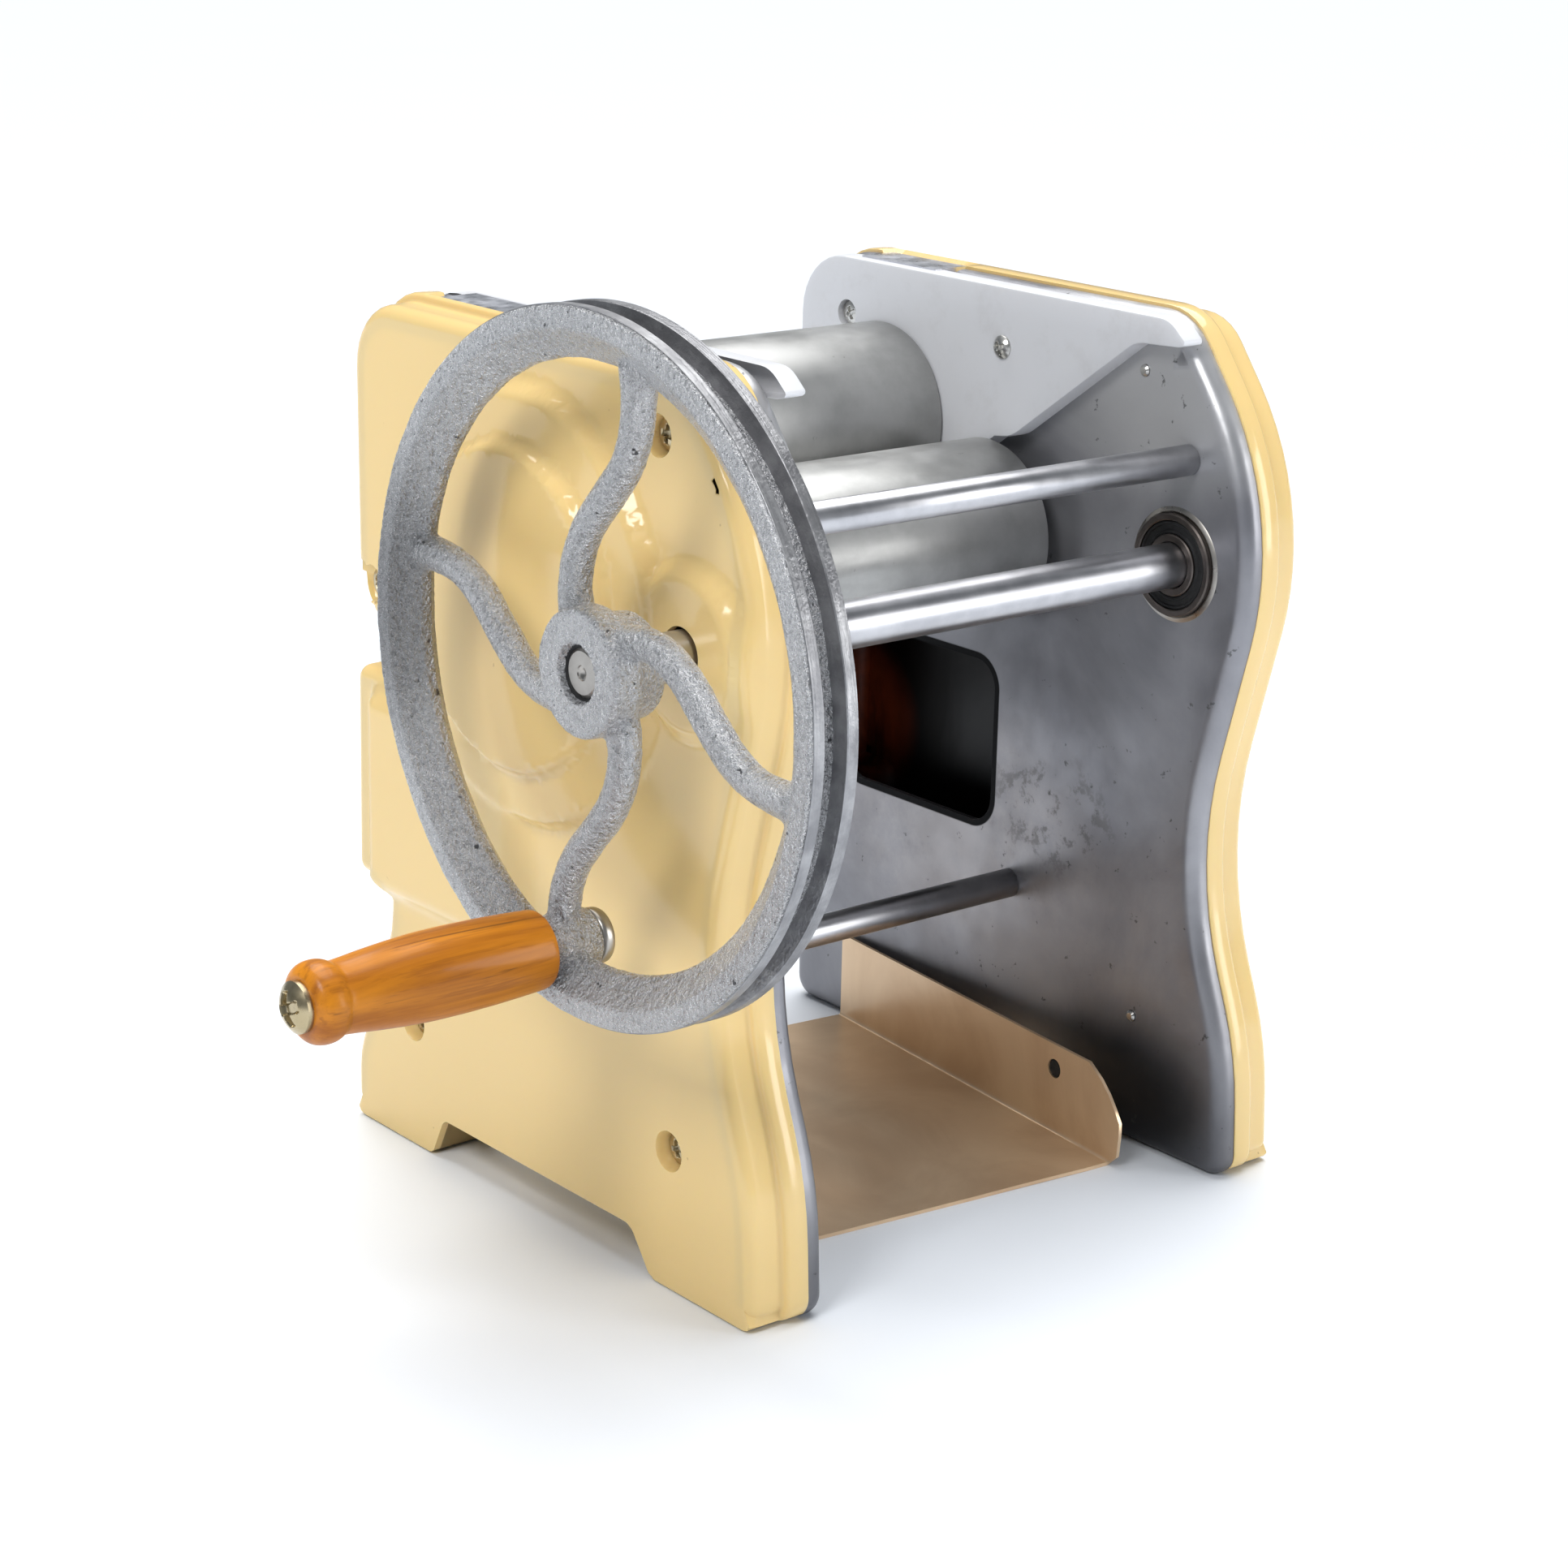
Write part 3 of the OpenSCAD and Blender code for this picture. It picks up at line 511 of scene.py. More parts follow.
def side_steel():
    """Pressed sheet with cloudy stains and specks, and painted light and shade: a pinkish painted
    reflection, a lighter upper front, dark painted reflections, a painted shadow low at the front, and a
    black painted shadow line round the window.
    """
    m = Material("side_steel")
    cloud = m.noise(16, 6, 0.62, None, 0.5)
    specks = m.between(m.noise(210, 4, 0.6), 0.66, 0.71)
    colour = m.mix(m.between(cloud, 0.3, 0.7), rgb(0.22, 0.22, 0.24), rgb(0.33, 0.33, 0.35))
    # painted reflection: a light pinkish patch low in the middle of the plate
    light_painted_reflection = m.math("MULTIPLY", m.near((50, 75), (75, 48)),
                  m.between(m.noise(45, 6, 0.75), 0.36, 0.60, 0.45, 1.0))
    colour = m.mix(m.math("MULTIPLY", light_painted_reflection, 0.7), colour, rgb(0.44, 0.415, 0.415))
    # painted reflection: a dark patch in the middle of the plate
    dark_painted_reflection = m.math("MULTIPLY", m.near((8, 88), (34, 22)), m.between(m.noise(120, 5, 0.7), 0.52, 0.62))
    colour = m.mix(m.math("MULTIPLY", dark_painted_reflection, 0.6), colour, rgb(0.10, 0.095, 0.09))
    # painted light: the upper front of the plate lighter
    upper_painted_light = m.near((-30, 222), (60, 42))
    colour = m.mix(m.math("MULTIPLY", upper_painted_light, 0.8), colour, rgb(0.62, 0.62, 0.63))
    # painted shadow near black low at the front by the tray, and a weaker dark painted reflection higher in
    # the middle
    dark = m.math("MAXIMUM", m.near((-30, 10), (48, 38)),
                  m.math("MULTIPLY", m.near((15, 140), (58, 34)), 0.45))
    colour = m.mix(m.math("MULTIPLY", dark, 0.9), colour, rgb(0.002, 0.002, 0.003))
    colour = m.mix(m.math("MULTIPLY", specks, 0.7), colour, rgb(0.06, 0.06, 0.06))
    # painted shadow: a black line just outside the window's edge, where its thickness shades the plate; it
    # is also made less metallic
    from_shadow_line = m.math("SUBTRACT", m.box_edge(WINDOW_LOW, WINDOW_HIGH, 8), 0.9)
    shadow_line = m.between(m.math("ABSOLUTE", from_shadow_line), 0.8, 1.3)
    colour = m.mix(shadow_line, rgb(0.006, 0.006, 0.007), colour)
    m.shade(Base_Color=colour, Metallic=m.between(shadow_line, 0, 1, 0.0, 0.65),
            Specular_IOR_Level=m.between(shadow_line, 0, 1, 0.05, 0.5),
            Roughness=m.between(m.noise(60, 5), 0.3, 0.7, 0.32, 0.46),
            Normal=m.bump(m.noise(900, 3), 0.00006, 0.3))
    return m.mat


def tray_steel():
    m = Material("tray_steel")
    cloud = m.noise(18, 5, 0.6, None, 1.0)
    rub = m.noise(60, 5, 0.7, m.scaled(1, 0.25, 1))
    colour = m.mix(m.between(cloud, 0.3, 0.7), rgb(0.72, 0.50, 0.31), rgb(0.86, 0.64, 0.42))
    m.shade(Base_Color=colour, Metallic=0.6, Roughness=m.between(rub, 0.35, 0.7, 0.28, 0.34),
            Normal=m.bump(m.noise(9, 2), 0.0004, 0.2))
    return m.mat


WINDOW_LOW, WINDOW_HIGH = window_box()
CREAM = cream_plastic()
LINING_PAINTED_SHADE = cover_inside_painted_shade()
CAST = cast_alloy()
MACHINED = machined_alloy()
WOOD = varnished_wood()
SIDE = side_steel()
TRAY = tray_steel()
NYLON = nylon()
ROLLER = steel("roller_steel", (0.33, 0.33, 0.32), (0.48, 0.48, 0.47), (0.32, 0.44), 0.5, 0.75,
               (0.2, 1, 1), 30)
BRIGHT = steel("bright_rod", (0.42, 0.42, 0.44), (0.54, 0.54, 0.56), (0.30, 0.38), 0.12, 1.0,
               (0.1, 1, 1), 60)
ZINC = steel("zinc_steel", (0.45, 0.44, 0.42), (0.66, 0.65, 0.62), (0.2, 0.34), 0.2)
BRASSY = steel("brass_screw", (0.40, 0.33, 0.20), (0.60, 0.52, 0.36), (0.24, 0.36), 0.4)
BRONZE = steel("bronze", (0.40, 0.26, 0.1), (0.6, 0.42, 0.2), (0.3, 0.45), 0.2)
GEAR = steel("gear_steel", (0.28, 0.26, 0.24), (0.42, 0.40, 0.37), (0.25, 0.4), 0.4)
STRIP = steel("light_strip", (0.55, 0.56, 0.60), (0.72, 0.73, 0.78), (0.25, 0.4), 0.2)
DULL = steel("dull_steel", (0.07, 0.06, 0.055), (0.15, 0.13, 0.12), (0.35, 0.5), 0.4)
# black rubber for the bearing seals; the same material paints shade in the hub's bore gap and in the tray's
# holes
RUBBER_AND_SHADE = plain("seal_rubber", (0.006, 0.006, 0.0065), 0.7)
BLACK = plain("black_plastic", (0.03, 0.03, 0.032), 0.4)
BLACK_STEEL = plain("black_steel", (0.05, 0.05, 0.05), 0.35, 0.8)


# ---------------------------------------------------------------- side plates and covers
STRIP_LOW, STRIP_HIGH = box_mm("top_strips")


def plate_outline():
    """A side plate's outline, without the notch for the strips."""
    loop = loops_at("far_side_plate", MID + PLATE)[0]
    return [p for p in loop
            if not (STRIP_LOW.y - 0.5 < p.x < STRIP_HIGH.y + 0.5 and TOP - 5 < p.y < TOP - 0.05)]


def cover_outline(plate):
    """The cover's flange stands a little proud of the plate."""
    return [Vector((p.x, p.y + 0.5)) for p in inset(plate, -0.5, not_under_feet)]


def hole_centres(node, radius, x):
    """Centres of the round holes of a radius in a CAD node's plane x."""
    centres = []
    for lp in loops_at(node, x):
        low = Vector((min(p.x for p in lp), min(p.y for p in lp)))
        high = Vector((max(p.x for p in lp), max(p.y for p in lp)))
        if abs((high - low).x / 2 - radius) < 0.15 and abs((high - low).y / 2 - radius) < 0.15:
            centres.append((low + high) / 2)
    return centres


COVER_SCREWS = hole_centres("far_side_plate", 1.7, MID + PLATE)
CHEEK_SCREWS = sorted(hole_centres("far_side_plate", 2.0, MID + PLATE), key=lambda c: -c.x)


def not_under_feet(point, normal):
    """0 where the outline faces down or into the arch, 1 on the other edges."""
    low = 1 - smooth_step(11.5, 15, point.y)
    down = smooth_step(0.72, 0.97, normal.y)
    along = point.x - FRONT.x
    arch = smooth_step(-58, -52, along) * (1 - smooth_step(48, 52, along))
    return 1 - low * max(down, arch)


def side_plate(name, side, outline, cad):
    """Pressed steel: an upright rim, a rounded bend and a flat face with its holes."""
    radius, steps = 4.2, 6
    levels = [(0.0, RIM), (0.0, RIM - 0.8), (0.0, PLATE + radius)]
    for k in range(1, steps + 1):
        a = math.pi / 2 * k / steps
        levels.append((radius * (1 - math.cos(a)), PLATE + radius * (1 - math.sin(a))))
    rings = []
    for d, x in levels:
        rings.append([(MID + side * x, p.x, p.y) for p in inset(outline, d)])
    holes = [subdivided(lp, 2.0) for lp in loops_at(cad, MID + side * PLATE)[1:]]
    co, tris = filled(inset(outline, levels[-1][0]), holes, 6.0)
    verts, faces = join_parts([loft(rings), ([(MID + side * PLATE, p.x, p.y) for p in co], tris)])
    verts = [under_strip(v, 0.3) for v in verts]
    obj = make(name, verts, faces, SIDE, "frame", [cad])
    add_modifier(obj, "SOLIDIFY", thickness=1.7 * MM, offset=-1.0 if side_normal_out(obj, side) else 1.0)
    apply_modifiers(obj)
    return obj


def side_normal_out(obj, side):
    """Whether the big face's normal points away from the inside of the metal."""
    big = max(obj.data.polygons, key=lambda p: p.area * (abs(p.normal.x) > 0.99))
    return big.normal.x * side < 0


def under_strip(v, clearance):
    """Lowers what would stand in the way of the strips in the top edges."""
    x = abs(v[0] - MID)
    if x < 79.15 and STRIP_LOW.y - clearance < v[1] < STRIP_HIGH.y + clearance:
        return (v[0], v[1], min(v[2], STRIP_LOW.z - 0.05))
    return v


def dome_height(p):
    """Height of the near cover's swellings above its face."""
    r = (p - FRONT).length
    ring = 4.8 * (1 - smooth_step(53.8, 58.6, r)) + 0.6 * (1 - smooth_step(43, 55, r))
    disc = 3.9 * (1 - smooth_step(40.6, 43.6, r))
    dome = ring + disc
    s = (p - SHAFT).length
    boss = 3.9 * (1 - smooth_step(17.5, 24, s))
    y, z = p.x - FRONT.x, p.y
    block = 4.4 * smooth_step(-2.5, 7, y) * (1 - smooth_step(70, 75.5, y))
    block *= smooth_step(69, 76, z) * (1 - smooth_step(124, 131, z))
    return blended_max(dome, boss, block)


def far_face(p):
    return 0.6 * (1 - smooth_step(11.4, 12.2, (p - KNOB).length))


WELL_IN, WELL_OUT, WELL_DEPTH = 4.55, 5.2, 5.2      # the recess round a cover screw


def cover_points(centres):
    """Extra points, in rings, where the covers' faces need a fine mesh."""
    points = []
    for c in COVER_SCREWS:
        for r in (3.5, 4.4, 4.75, 5.05, 5.4, 6.2):
            points += ring_points(c, r, 40)
    for c, radii, count in centres:
        for r in radii:
            points += ring_points(c, r, count)
    return points


def cover_skin(side, outline, levels, face_height, lowered, extra, bore):
    """One skin of a cover: walls through (inset, x) levels, then the shaped face."""
    def height(p):
        wells = sum(1 - smooth_step(WELL_IN, WELL_OUT, (p - c).length) for c in COVER_SCREWS)
        return face_height(p) - WELL_DEPTH * wells

    top = levels[-1][1]
    edge = [height(p) for p in inset(outline, levels[-1][0], not_under_feet)]
    rings = []
    for d, x in levels:
        share = smooth_step(top - 3.6, top, x)
        ring = inset(outline, d, not_under_feet)
        rings.append([(MID + side * (x + share * h), p.x, p.y) for p, h in zip(ring, edge)])
    co, tris = filled(inset(outline, levels[-1][0], not_under_feet), [bore], 1.9, extra)
    raised = [(MID + side * (COVER - lowered + height(p)), p.x, p.y) for p in co]
    backing = []                           # a strip below the seam, meant to close its gaps
    for d in (levels[-1][0] - 0.4, levels[-1][0] + 2.2):
        ring = inset(outline, d, not_under_feet)
        backing.append([(MID + side * (COVER - lowered - 0.12 + height(p)), p.x, p.y) for p in ring])
    verts, faces = join_parts([loft(rings), (raised, tris), loft(backing)])
    return [under_strip(v, 0.3) for v in verts], faces


def cover(name, side, outline, face_height, cad, centres, bore):
    """Moulded shell: flange, crease, drafted wall, rounded edge and a shaped face with a bore."""
    fillet, steps, wall, body_in = 3.6, 7, 2.2, 2.4
    levels = [(wall, RIM), (0.2, RIM), (0, RIM + 0.4), (0, FLANGE - 1.2), (0.3, FLANGE - 0.4), (0.9, FLANGE),
              (body_in - 0.9, FLANGE + 0.05), (body_in - 0.3, FLANGE + 0.35), (body_in, FLANGE + 1.0),
              (body_in + 0.15, COVER - fillet)]
    for k in range(1, steps + 1):
        a = math.pi / 2 * k / steps
        levels.append((body_in + 0.15 + fillet * (1 - math.cos(a)), COVER - fillet * (1 - math.sin(a))))
    extra = cover_points(centres)
    skin = cover_skin(side, outline, levels, face_height, 0, extra, bore)
    lip = [[(MID + side * (COVER - d + face_height(p)), p.x, p.y) for p in bore] for d in (0, wall)]
    make(name + "_shell", *join_parts([skin, loft(lip)]), CREAM, "frame", [cad], 50)
    levels = [(wall, RIM), (wall, FLANGE - 2.2), (body_in + wall, FLANGE - 1.5),
              (body_in + wall, COVER - wall - 2.5), (body_in + wall + 2.5, COVER - wall)]
    skin = cover_skin(side, outline, levels, face_height, wall, extra, bore)
    # the inner skin carries the painted shade of the covers' inside
    make(name + "_lining", *skin, LINING_PAINTED_SHADE, "frame", (), 50)


def sides():
    plate = subdivided(plate_outline(), 3.0)
    outline = cover_outline(plate)
    for name, side in (("near", NEAR), ("far", FAR)):
        side_plate(name + "_plate_skin", side, plate, name + "_side_plate")
    near_rings = [(FRONT, (37, 40, 42, 44, 47, 50, 53, 55, 57, 59), 150),
                  (SHAFT, (6.5, 6.8, 7.2, 7.6, 17, 19, 21, 23, 25), 72)]
    cover("near_cover", NEAR, outline, dome_height, "near_cover", near_rings, ring_points(SHAFT, 7.0, 72))
    low, high = box_mm("adjuster_shaft")
    bore = ring_points(KNOB, (high.z - low.z) / 2 + 0.4, 60)
    cover("far_cover", FAR, outline, far_face, "far_cover", [(KNOB, (11.2, 11.6, 12, 12.4), 60)], bore)


# ---------------------------------------------------------------- handwheel and grip
def wheel_casting():
    """Rim, four S spokes and hub, blended by a fine remesh as a casting would be."""
    x, r = WHEEL_X, WHEEL_R
    rim = [(x, r - 5.4), (x, r - 0.6), (x + 0.5, r - 0.25), (x + 2.4, r - 0.25), (x + 2.4, r - 4),
           (x + 12, r - 4), (x + 12, r - 0.3), (x + RIM_W - 0.4, r - 0.3),
           (x + RIM_W, r - 0.6), (x + RIM_W, r - 5.4), (x + RIM_W / 2 + 1.2, r - 12.8),
           (x + RIM_W / 2 - 1.2, r - 12.8), (x, r - 5.4)]
    hub = rounded_profile([(x + 0.2, 0), (x, 15.5), (x + 8, 15.7), (x + 8.4, 13.2), (x + 17, 12.8),
                           (x + 17, 0)], 1.0)
    parts = [lathe_parts(SHAFT, rim, 160), lathe_parts(SHAFT, hub, 72)]
    mid = x + RIM_W / 2
    bends = [(11, 47), (16, 54.5), (20.5, 60.5), (25, 68), (29, 74.5), (33, 81), (37, 87.5), (41, 93),
             (45, 97), (49, 100), (53, 101.8), (58, 102.8), (63, 102.7), (69, 102), (75, 101)]
    for k in range(4):
        path, radii = [], []
        for radius, angle in bends:
            a = math.radians(angle + 90 * k)
            path.append(Vector((mid, SHAFT.x + radius * math.cos(a), SHAFT.y + radius * math.sin(a))))
            radii.append(4.05 + 0.5 * (1 - smooth_step(11, 22, radius)) + 0.9 * smooth_step(66, 75, radius))
        parts.append(tube_parts(path, radii))
    boss = rounded_profile([(x - 0.3, 0), (x - 0.3, 7.2), (x + 7, 7.9), (x + RIM_W, 7.9),
                            (x + RIM_W, 0)], 0.8)
    parts.append(lathe_parts(GRIP, boss, 40))
    verts, faces = join_parts(parts)
    mesh = bpy.data.meshes.new("wheel_casting")
    mesh.from_pydata([Vector(v) * MM for v in verts], [], faces)
    obj = finish_piece("wheel_casting", mesh, CAST, "crank", ["handwheel"], 60)
    add_modifier(obj, "REMESH", mode="VOXEL", voxel_size=0.62 * MM)
    add_modifier(obj, "SMOOTH", factor=0.5, iterations=4)
    apply_modifiers(obj, 70)
    moved_vertices(obj, cast_skin)
    return obj


def moved_vertices(obj, shift):
    """Moves each vertex by what shift(position, normal) gives, in millimetres."""
    mesh = obj.data
    count = len(mesh.vertices)
    places, normals = np.empty(count * 3, np.float32), np.empty(count * 3, np.float32)
    mesh.vertices.foreach_get("co", places)
    mesh.vertices.foreach_get("normal", normals)
    moves = [shift(Vector(p) / MM, Vector(n)) for p, n in zip(places.reshape(-1, 3), normals.reshape(-1, 3))]
    mesh.vertices.foreach_set("co", places + np.array(moves, np.float32).reshape(-1) * MM)
    mesh.update()


def cast_skin(p, normal):
    """Small lumps of a sand casting, and the bore that the shaft end shows in."""
    lump = noise.noise(p * 0.9) * 0.10 + noise.noise(p * 2.6) * 0.05 + noise.noise(p * 0.12) * 0.18
    r = (p.yz - SHAFT).length
    if r < 7.2 and p.x < WHEEL_X + 4:
        return Vector((2.8 * (1 - smooth_step(6.6, 7.2, r)), 0, 0))
    return normal * lump


def wheel_band():
    """The turned outside of the rim with its groove."""
    x, r = WHEEL_X, WHEEL_R
    profile = [(x + 1.0, r - 5), (x + 1.0, r - 0.12), (x + 1.15, r), (x + 3.9, r),
               (x + 4.15, r - 0.2), (x + 5.2, r - 6.0), (x + 5.5, r - 6.3), (x + 8.8, r - 6.3),
               (x + 9.1, r - 6.0), (x + 10.4, r - 0.2), (x + 10.7, r),
               (x + 13.4, r), (x + 13.6, r - 0.2), (x + 13.6, r - 5)]
    lathe("wheel_band", SHAFT, profile, MACHINED, "crank", (), 256)


def grip():
    low, high = box_mm("handle_grip")
    length, big = high.x - low.x, (high.z - low.z) / 2
    shape = [(0, 0.60), (0.0, 0.86), (0.006, 0.895), (0.02, 0.915), (0.10, 0.945), (0.22, 0.98),
             (0.36, 1.0), (0.5, 0.995), (0.62, 0.955), (0.73, 0.895),
             (0.80, 0.845), (0.845, 0.82), (0.862, 0.82), (0.872, 0.835),
             (0.885, 0.885), (0.905, 0.925), (0.93, 0.935), (0.955, 0.915), (0.975, 0.86),
             (0.99, 0.765), (1.0, 0.66), (1.0, 0.3)]
    profile = rounded_profile([(high.x - t * length, r * big) for t, r in shape], 1.6, 3)
    lathe("grip_wood", GRIP, profile, WOOD, "grip", ["handle_grip"], 96, 60)


def phillips(name, centre, x, side, radius, dome, cross, material, body, stands_for=(), rim=0.5, turn=0.4):
    """Screw head facing along side * X: domed, with a cross recess."""
    rows, steps = 26, 96
    verts, faces = [], []
    for i in range(rows + 1):
        r = radius * i / rows
        for k in range(steps):
            a = 2 * math.pi * k / steps
            y, z = r * math.cos(a + turn), r * math.sin(a + turn)
            flat = 0.25 * (1 - smooth_step(radius - 0.35, radius, r))
            h = dome * (1 - (r / radius) ** 2.2) if dome else flat
            arm = min(max(abs(y), abs(z) * 3.2), max(abs(z), abs(y) * 3.2))
            slot = 1 - smooth_step(cross * 0.72, cross, arm)
            h -= slot * cross * 0.55 * (1 - 0.35 * r / radius)
            verts.append((x + side * h, centre.x + r * math.cos(a), centre.y + r * math.sin(a)))
    for k in range(steps):
        a = 2 * math.pi * k / steps
        verts.append((x - side * rim, centre.x + radius * math.cos(a), centre.y + radius * math.sin(a)))
    for i in range(rows + 1):
        for k in range(steps):
            j = (k + 1) % steps
            faces.append([i * steps + k, i * steps + j, (i + 1) * steps + j, (i + 1) * steps + k])
    return make(name, verts, faces, material, body, stands_for, 45)


def wheel():
    wheel_casting()
    wheel_band()
    grip()
    low, high = box_mm("handle_bolt")
    phillips("handle_bolt_head", GRIP, low.x + 2.8, NEAR, 6.3, 2.7, 4.4, BRASSY, "crank", (), 2.6)
    shank = [(low.x + 3.2, 3), (high.x, 3), (high.x, 0)]
    lathe("handle_bolt_shank", GRIP, shank, ZINC, "crank", ["handle_bolt"], 48)
    nut_low, nut_high = box_mm("handle_nut")
    nut = rounded_profile([(nut_low.x, 3.2), (nut_low.x, 7.2), (nut_high.x - 0.6, 7.0),
                           (nut_high.x, 3.0), (nut_high.x, 0)], 1.4)
    lathe("handle_nut_round", GRIP, nut, GEAR, "crank", ["handle_nut"], 64)


# ---------------------------------------------------------------- rollers, rods, bearings
def rod(name, node, centre, material, body, edge=0.6, steps=72):
    low, high = box_mm(node)
    r = (high.z - low.z) / 2
    profile = [(low.x, 0), (low.x, r - edge), (low.x + edge, r), (high.x - edge, r),
               (high.x, r - edge), (high.x, 0)]
    lathe(name, centre, profile, material, body, [node], steps, 60)


def rollers():
    for name, centre in (("front_roller", FRONT), ("rear_roller", REAR)):
        low, high = box_mm(name)
        r = (high.z - low.z) / 2
        end = PLATE - 6.9
        profile = [(low.x, 0), (low.x, 6.6), (low.x + 0.5, 7), (MID - end, 7), (MID - end, r - 1.1)]
        profile += [(MID - end + 0.3, r - 0.35), (MID - end + 1.0, r)]
        profile += [(MID + end - 1.0, r), (MID + end - 0.3, r - 0.35)]
        profile += [(MID + end, r - 1.1), (MID + end, 7), (high.x - 0.5, 7), (high.x, 6.6), (high.x, 0)]
        lathe(name + "_turned", centre, profile, ROLLER, name, [name], 128)


def crank_shaft():
    low, high = box_mm("crank_shaft")
    r = (high.z - low.z) / 2
    end = [(low.x + 1.3, 0), (low.x + 0.5, 0.9), (low.x + 0.35, 1.7), (low.x, 1.9), (low.x, 5.2),
           (low.x + 0.7, r)]
    lathe("crank_shaft_end", SHAFT, end, GEAR, "crank", (), 72)
    # painted shade: a black ring fills the gap between the shaft end and the hub's bore
    gap = [(low.x + 0.9, 5.9), (low.x + 0.2, 6.35), (low.x + 0.1, 6.9)]
    lathe("hub_bore_gap_painted_shade", SHAFT, gap, RUBBER_AND_SHADE, "crank", (), 72)
    profile = [end[-1], (high.x - 0.6, r), (high.x, r - 0.6), (high.x, 0)]
    lathe("crank_shaft_turned", SHAFT, profile, BRIGHT, "crank", ["crank_shaft"], 72)


def bearings():
    for name, side in (("near", NEAR), ("far", FAR)):
        inner = MID + side * (PLATE - 2)

        def at(depth):
            return inner + side * depth

        outer = [(at(8), 14), (at(0.4), 14), (at(0), 13.6), (at(0), 12.4), (at(0.3), 12.1), (at(8), 12.05)]
        lathe(name + "_bearing_outer", SHAFT, outer, DULL, "frame", (), 96)
        ring = [(at(8), 8.4), (at(0.3), 8.4), (at(0), 8.1), (at(0), 6.5), (at(0.3), 6.2), (at(8), 6.16)]
        lathe(name + "_bearing_inner", SHAFT, ring, DULL, "frame", (), 96)
        seal = [(at(0.9), 12.2), (at(0.45), 11.7), (at(0.5), 11.2), (at(0.85), 10.9), (at(0.85), 9.6),
                (at(0.5), 9.3), (at(0.5), 8.9), (at(0.9), 8.3)]
        obj = lathe(name + "_bearing_seal", SHAFT, seal, RUBBER_AND_SHADE, "frame", (), 96)
        collar = [(at(2.05), 14.05), (at(1.55), 14.1), (at(1.45), 14.5), (at(1.75), 15.3), (at(2.05), 15.7)]
        lathe(name + "_bearing_collar", SHAFT, collar, GEAR, "frame", (), 96)
    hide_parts("crank_bearings", "bearing_seals")


def rods():
    for node, centre in zip(("tie_rod_upper", "tie_rod_lower", "tie_rod_rear"), RODS):
        rod(node + "_turned", node, centre, BRIGHT, "frame", 0.4)


# ---------------------------------------------------------------- cheeks, strips, screws, tray
def cheeks():
    for name, side in (("near", NEAR), ("far", FAR)):
        cad = name + "_cheek"
        inner = MID + side * (PLATE - 6.6)
        loops = loops_at(cad, inner)
        loop = subdivided(loops[0], 2.5)
        levels = [(0.9, 0), (0.25, 0.25), (0, 0.9), (0, 6.55)]
        rings = [[(inner + side * x, p.x, p.y) for p in inset(loop, d)] for d, x in levels]
        holes = [subdivided(lp, 1.5) for lp in loops[1:]]
        co, tris = filled(inset(loop, 0.9), holes, 5.0)
        walls = [loft([[(inner + side * x, p.x, p.y) for p in lp] for x in (0, 6.55)]) for lp in holes]
        verts, faces = join_parts([loft(rings), ([(inner, p.x, p.y) for p in co], tris), *walls])
        make(name + "_cheek_moulded", verts, faces, NYLON, "frame", [cad], 40)


def screws():
    for name, side in (("near", NEAR), ("far", FAR)):
        for i, c in enumerate(COVER_SCREWS):
            x = MID + side * (COVER - 3.4)
            obj = phillips("%s_cover_screw_%d" % (name, i + 1), c, x, side, 4.0, 0.9, 2.5, BRASSY,
                           "frame", (), 1.4, 0.4 + i)
            tip = [(MID + side * (PLATE - 1.0), 0), (MID + side * (PLATE - 0.9), 1.0),
                   (MID + side * (PLATE - 0.4), 1.6), (MID + side * (COVER - 3), 1.6)]
            lathe("%s_cover_screw_tip_%d" % (name, i + 1), c, tip, ZINC, "frame", (), 24)
    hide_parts("cover_screws")
    for name, side in (("near", NEAR), ("far", FAR)):
        inner = MID + side * (PLATE - 6.6)
        sunk, pan = CHEEK_SCREWS
        phillips(name + "_cheek_screw_sunk", sunk, inner + side * 1.6, -side, 3.4, 0.5, 2.0, ZINC,
                 "frame", (), 1.0)
        obj = phillips(name + "_cheek_screw_pan", pan, inner - side * 0.5, -side, 3.3, 1.6, 2.1, ZINC,
                       "frame", (), 0.6)
        for c in CHEEK_SCREWS:
            shank = [(inner + side * 2, 1.9), (MID + side * (PLATE + 2), 1.9),
                     (MID + side * (PLATE + 2), 3.5), (MID + side * (PLATE + 4.2), 3.5),
                     (MID + side * (PLATE + 4.2), 0)]
            lathe("%s_cheek_shank_%d" % (name, c.x > pan.x), c, shank, ZINC, "frame", (), 24)
    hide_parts("cheek_screws")


TRAY_HOLE = 27, 19.8                       # behind the floor's front edge, and above the floor


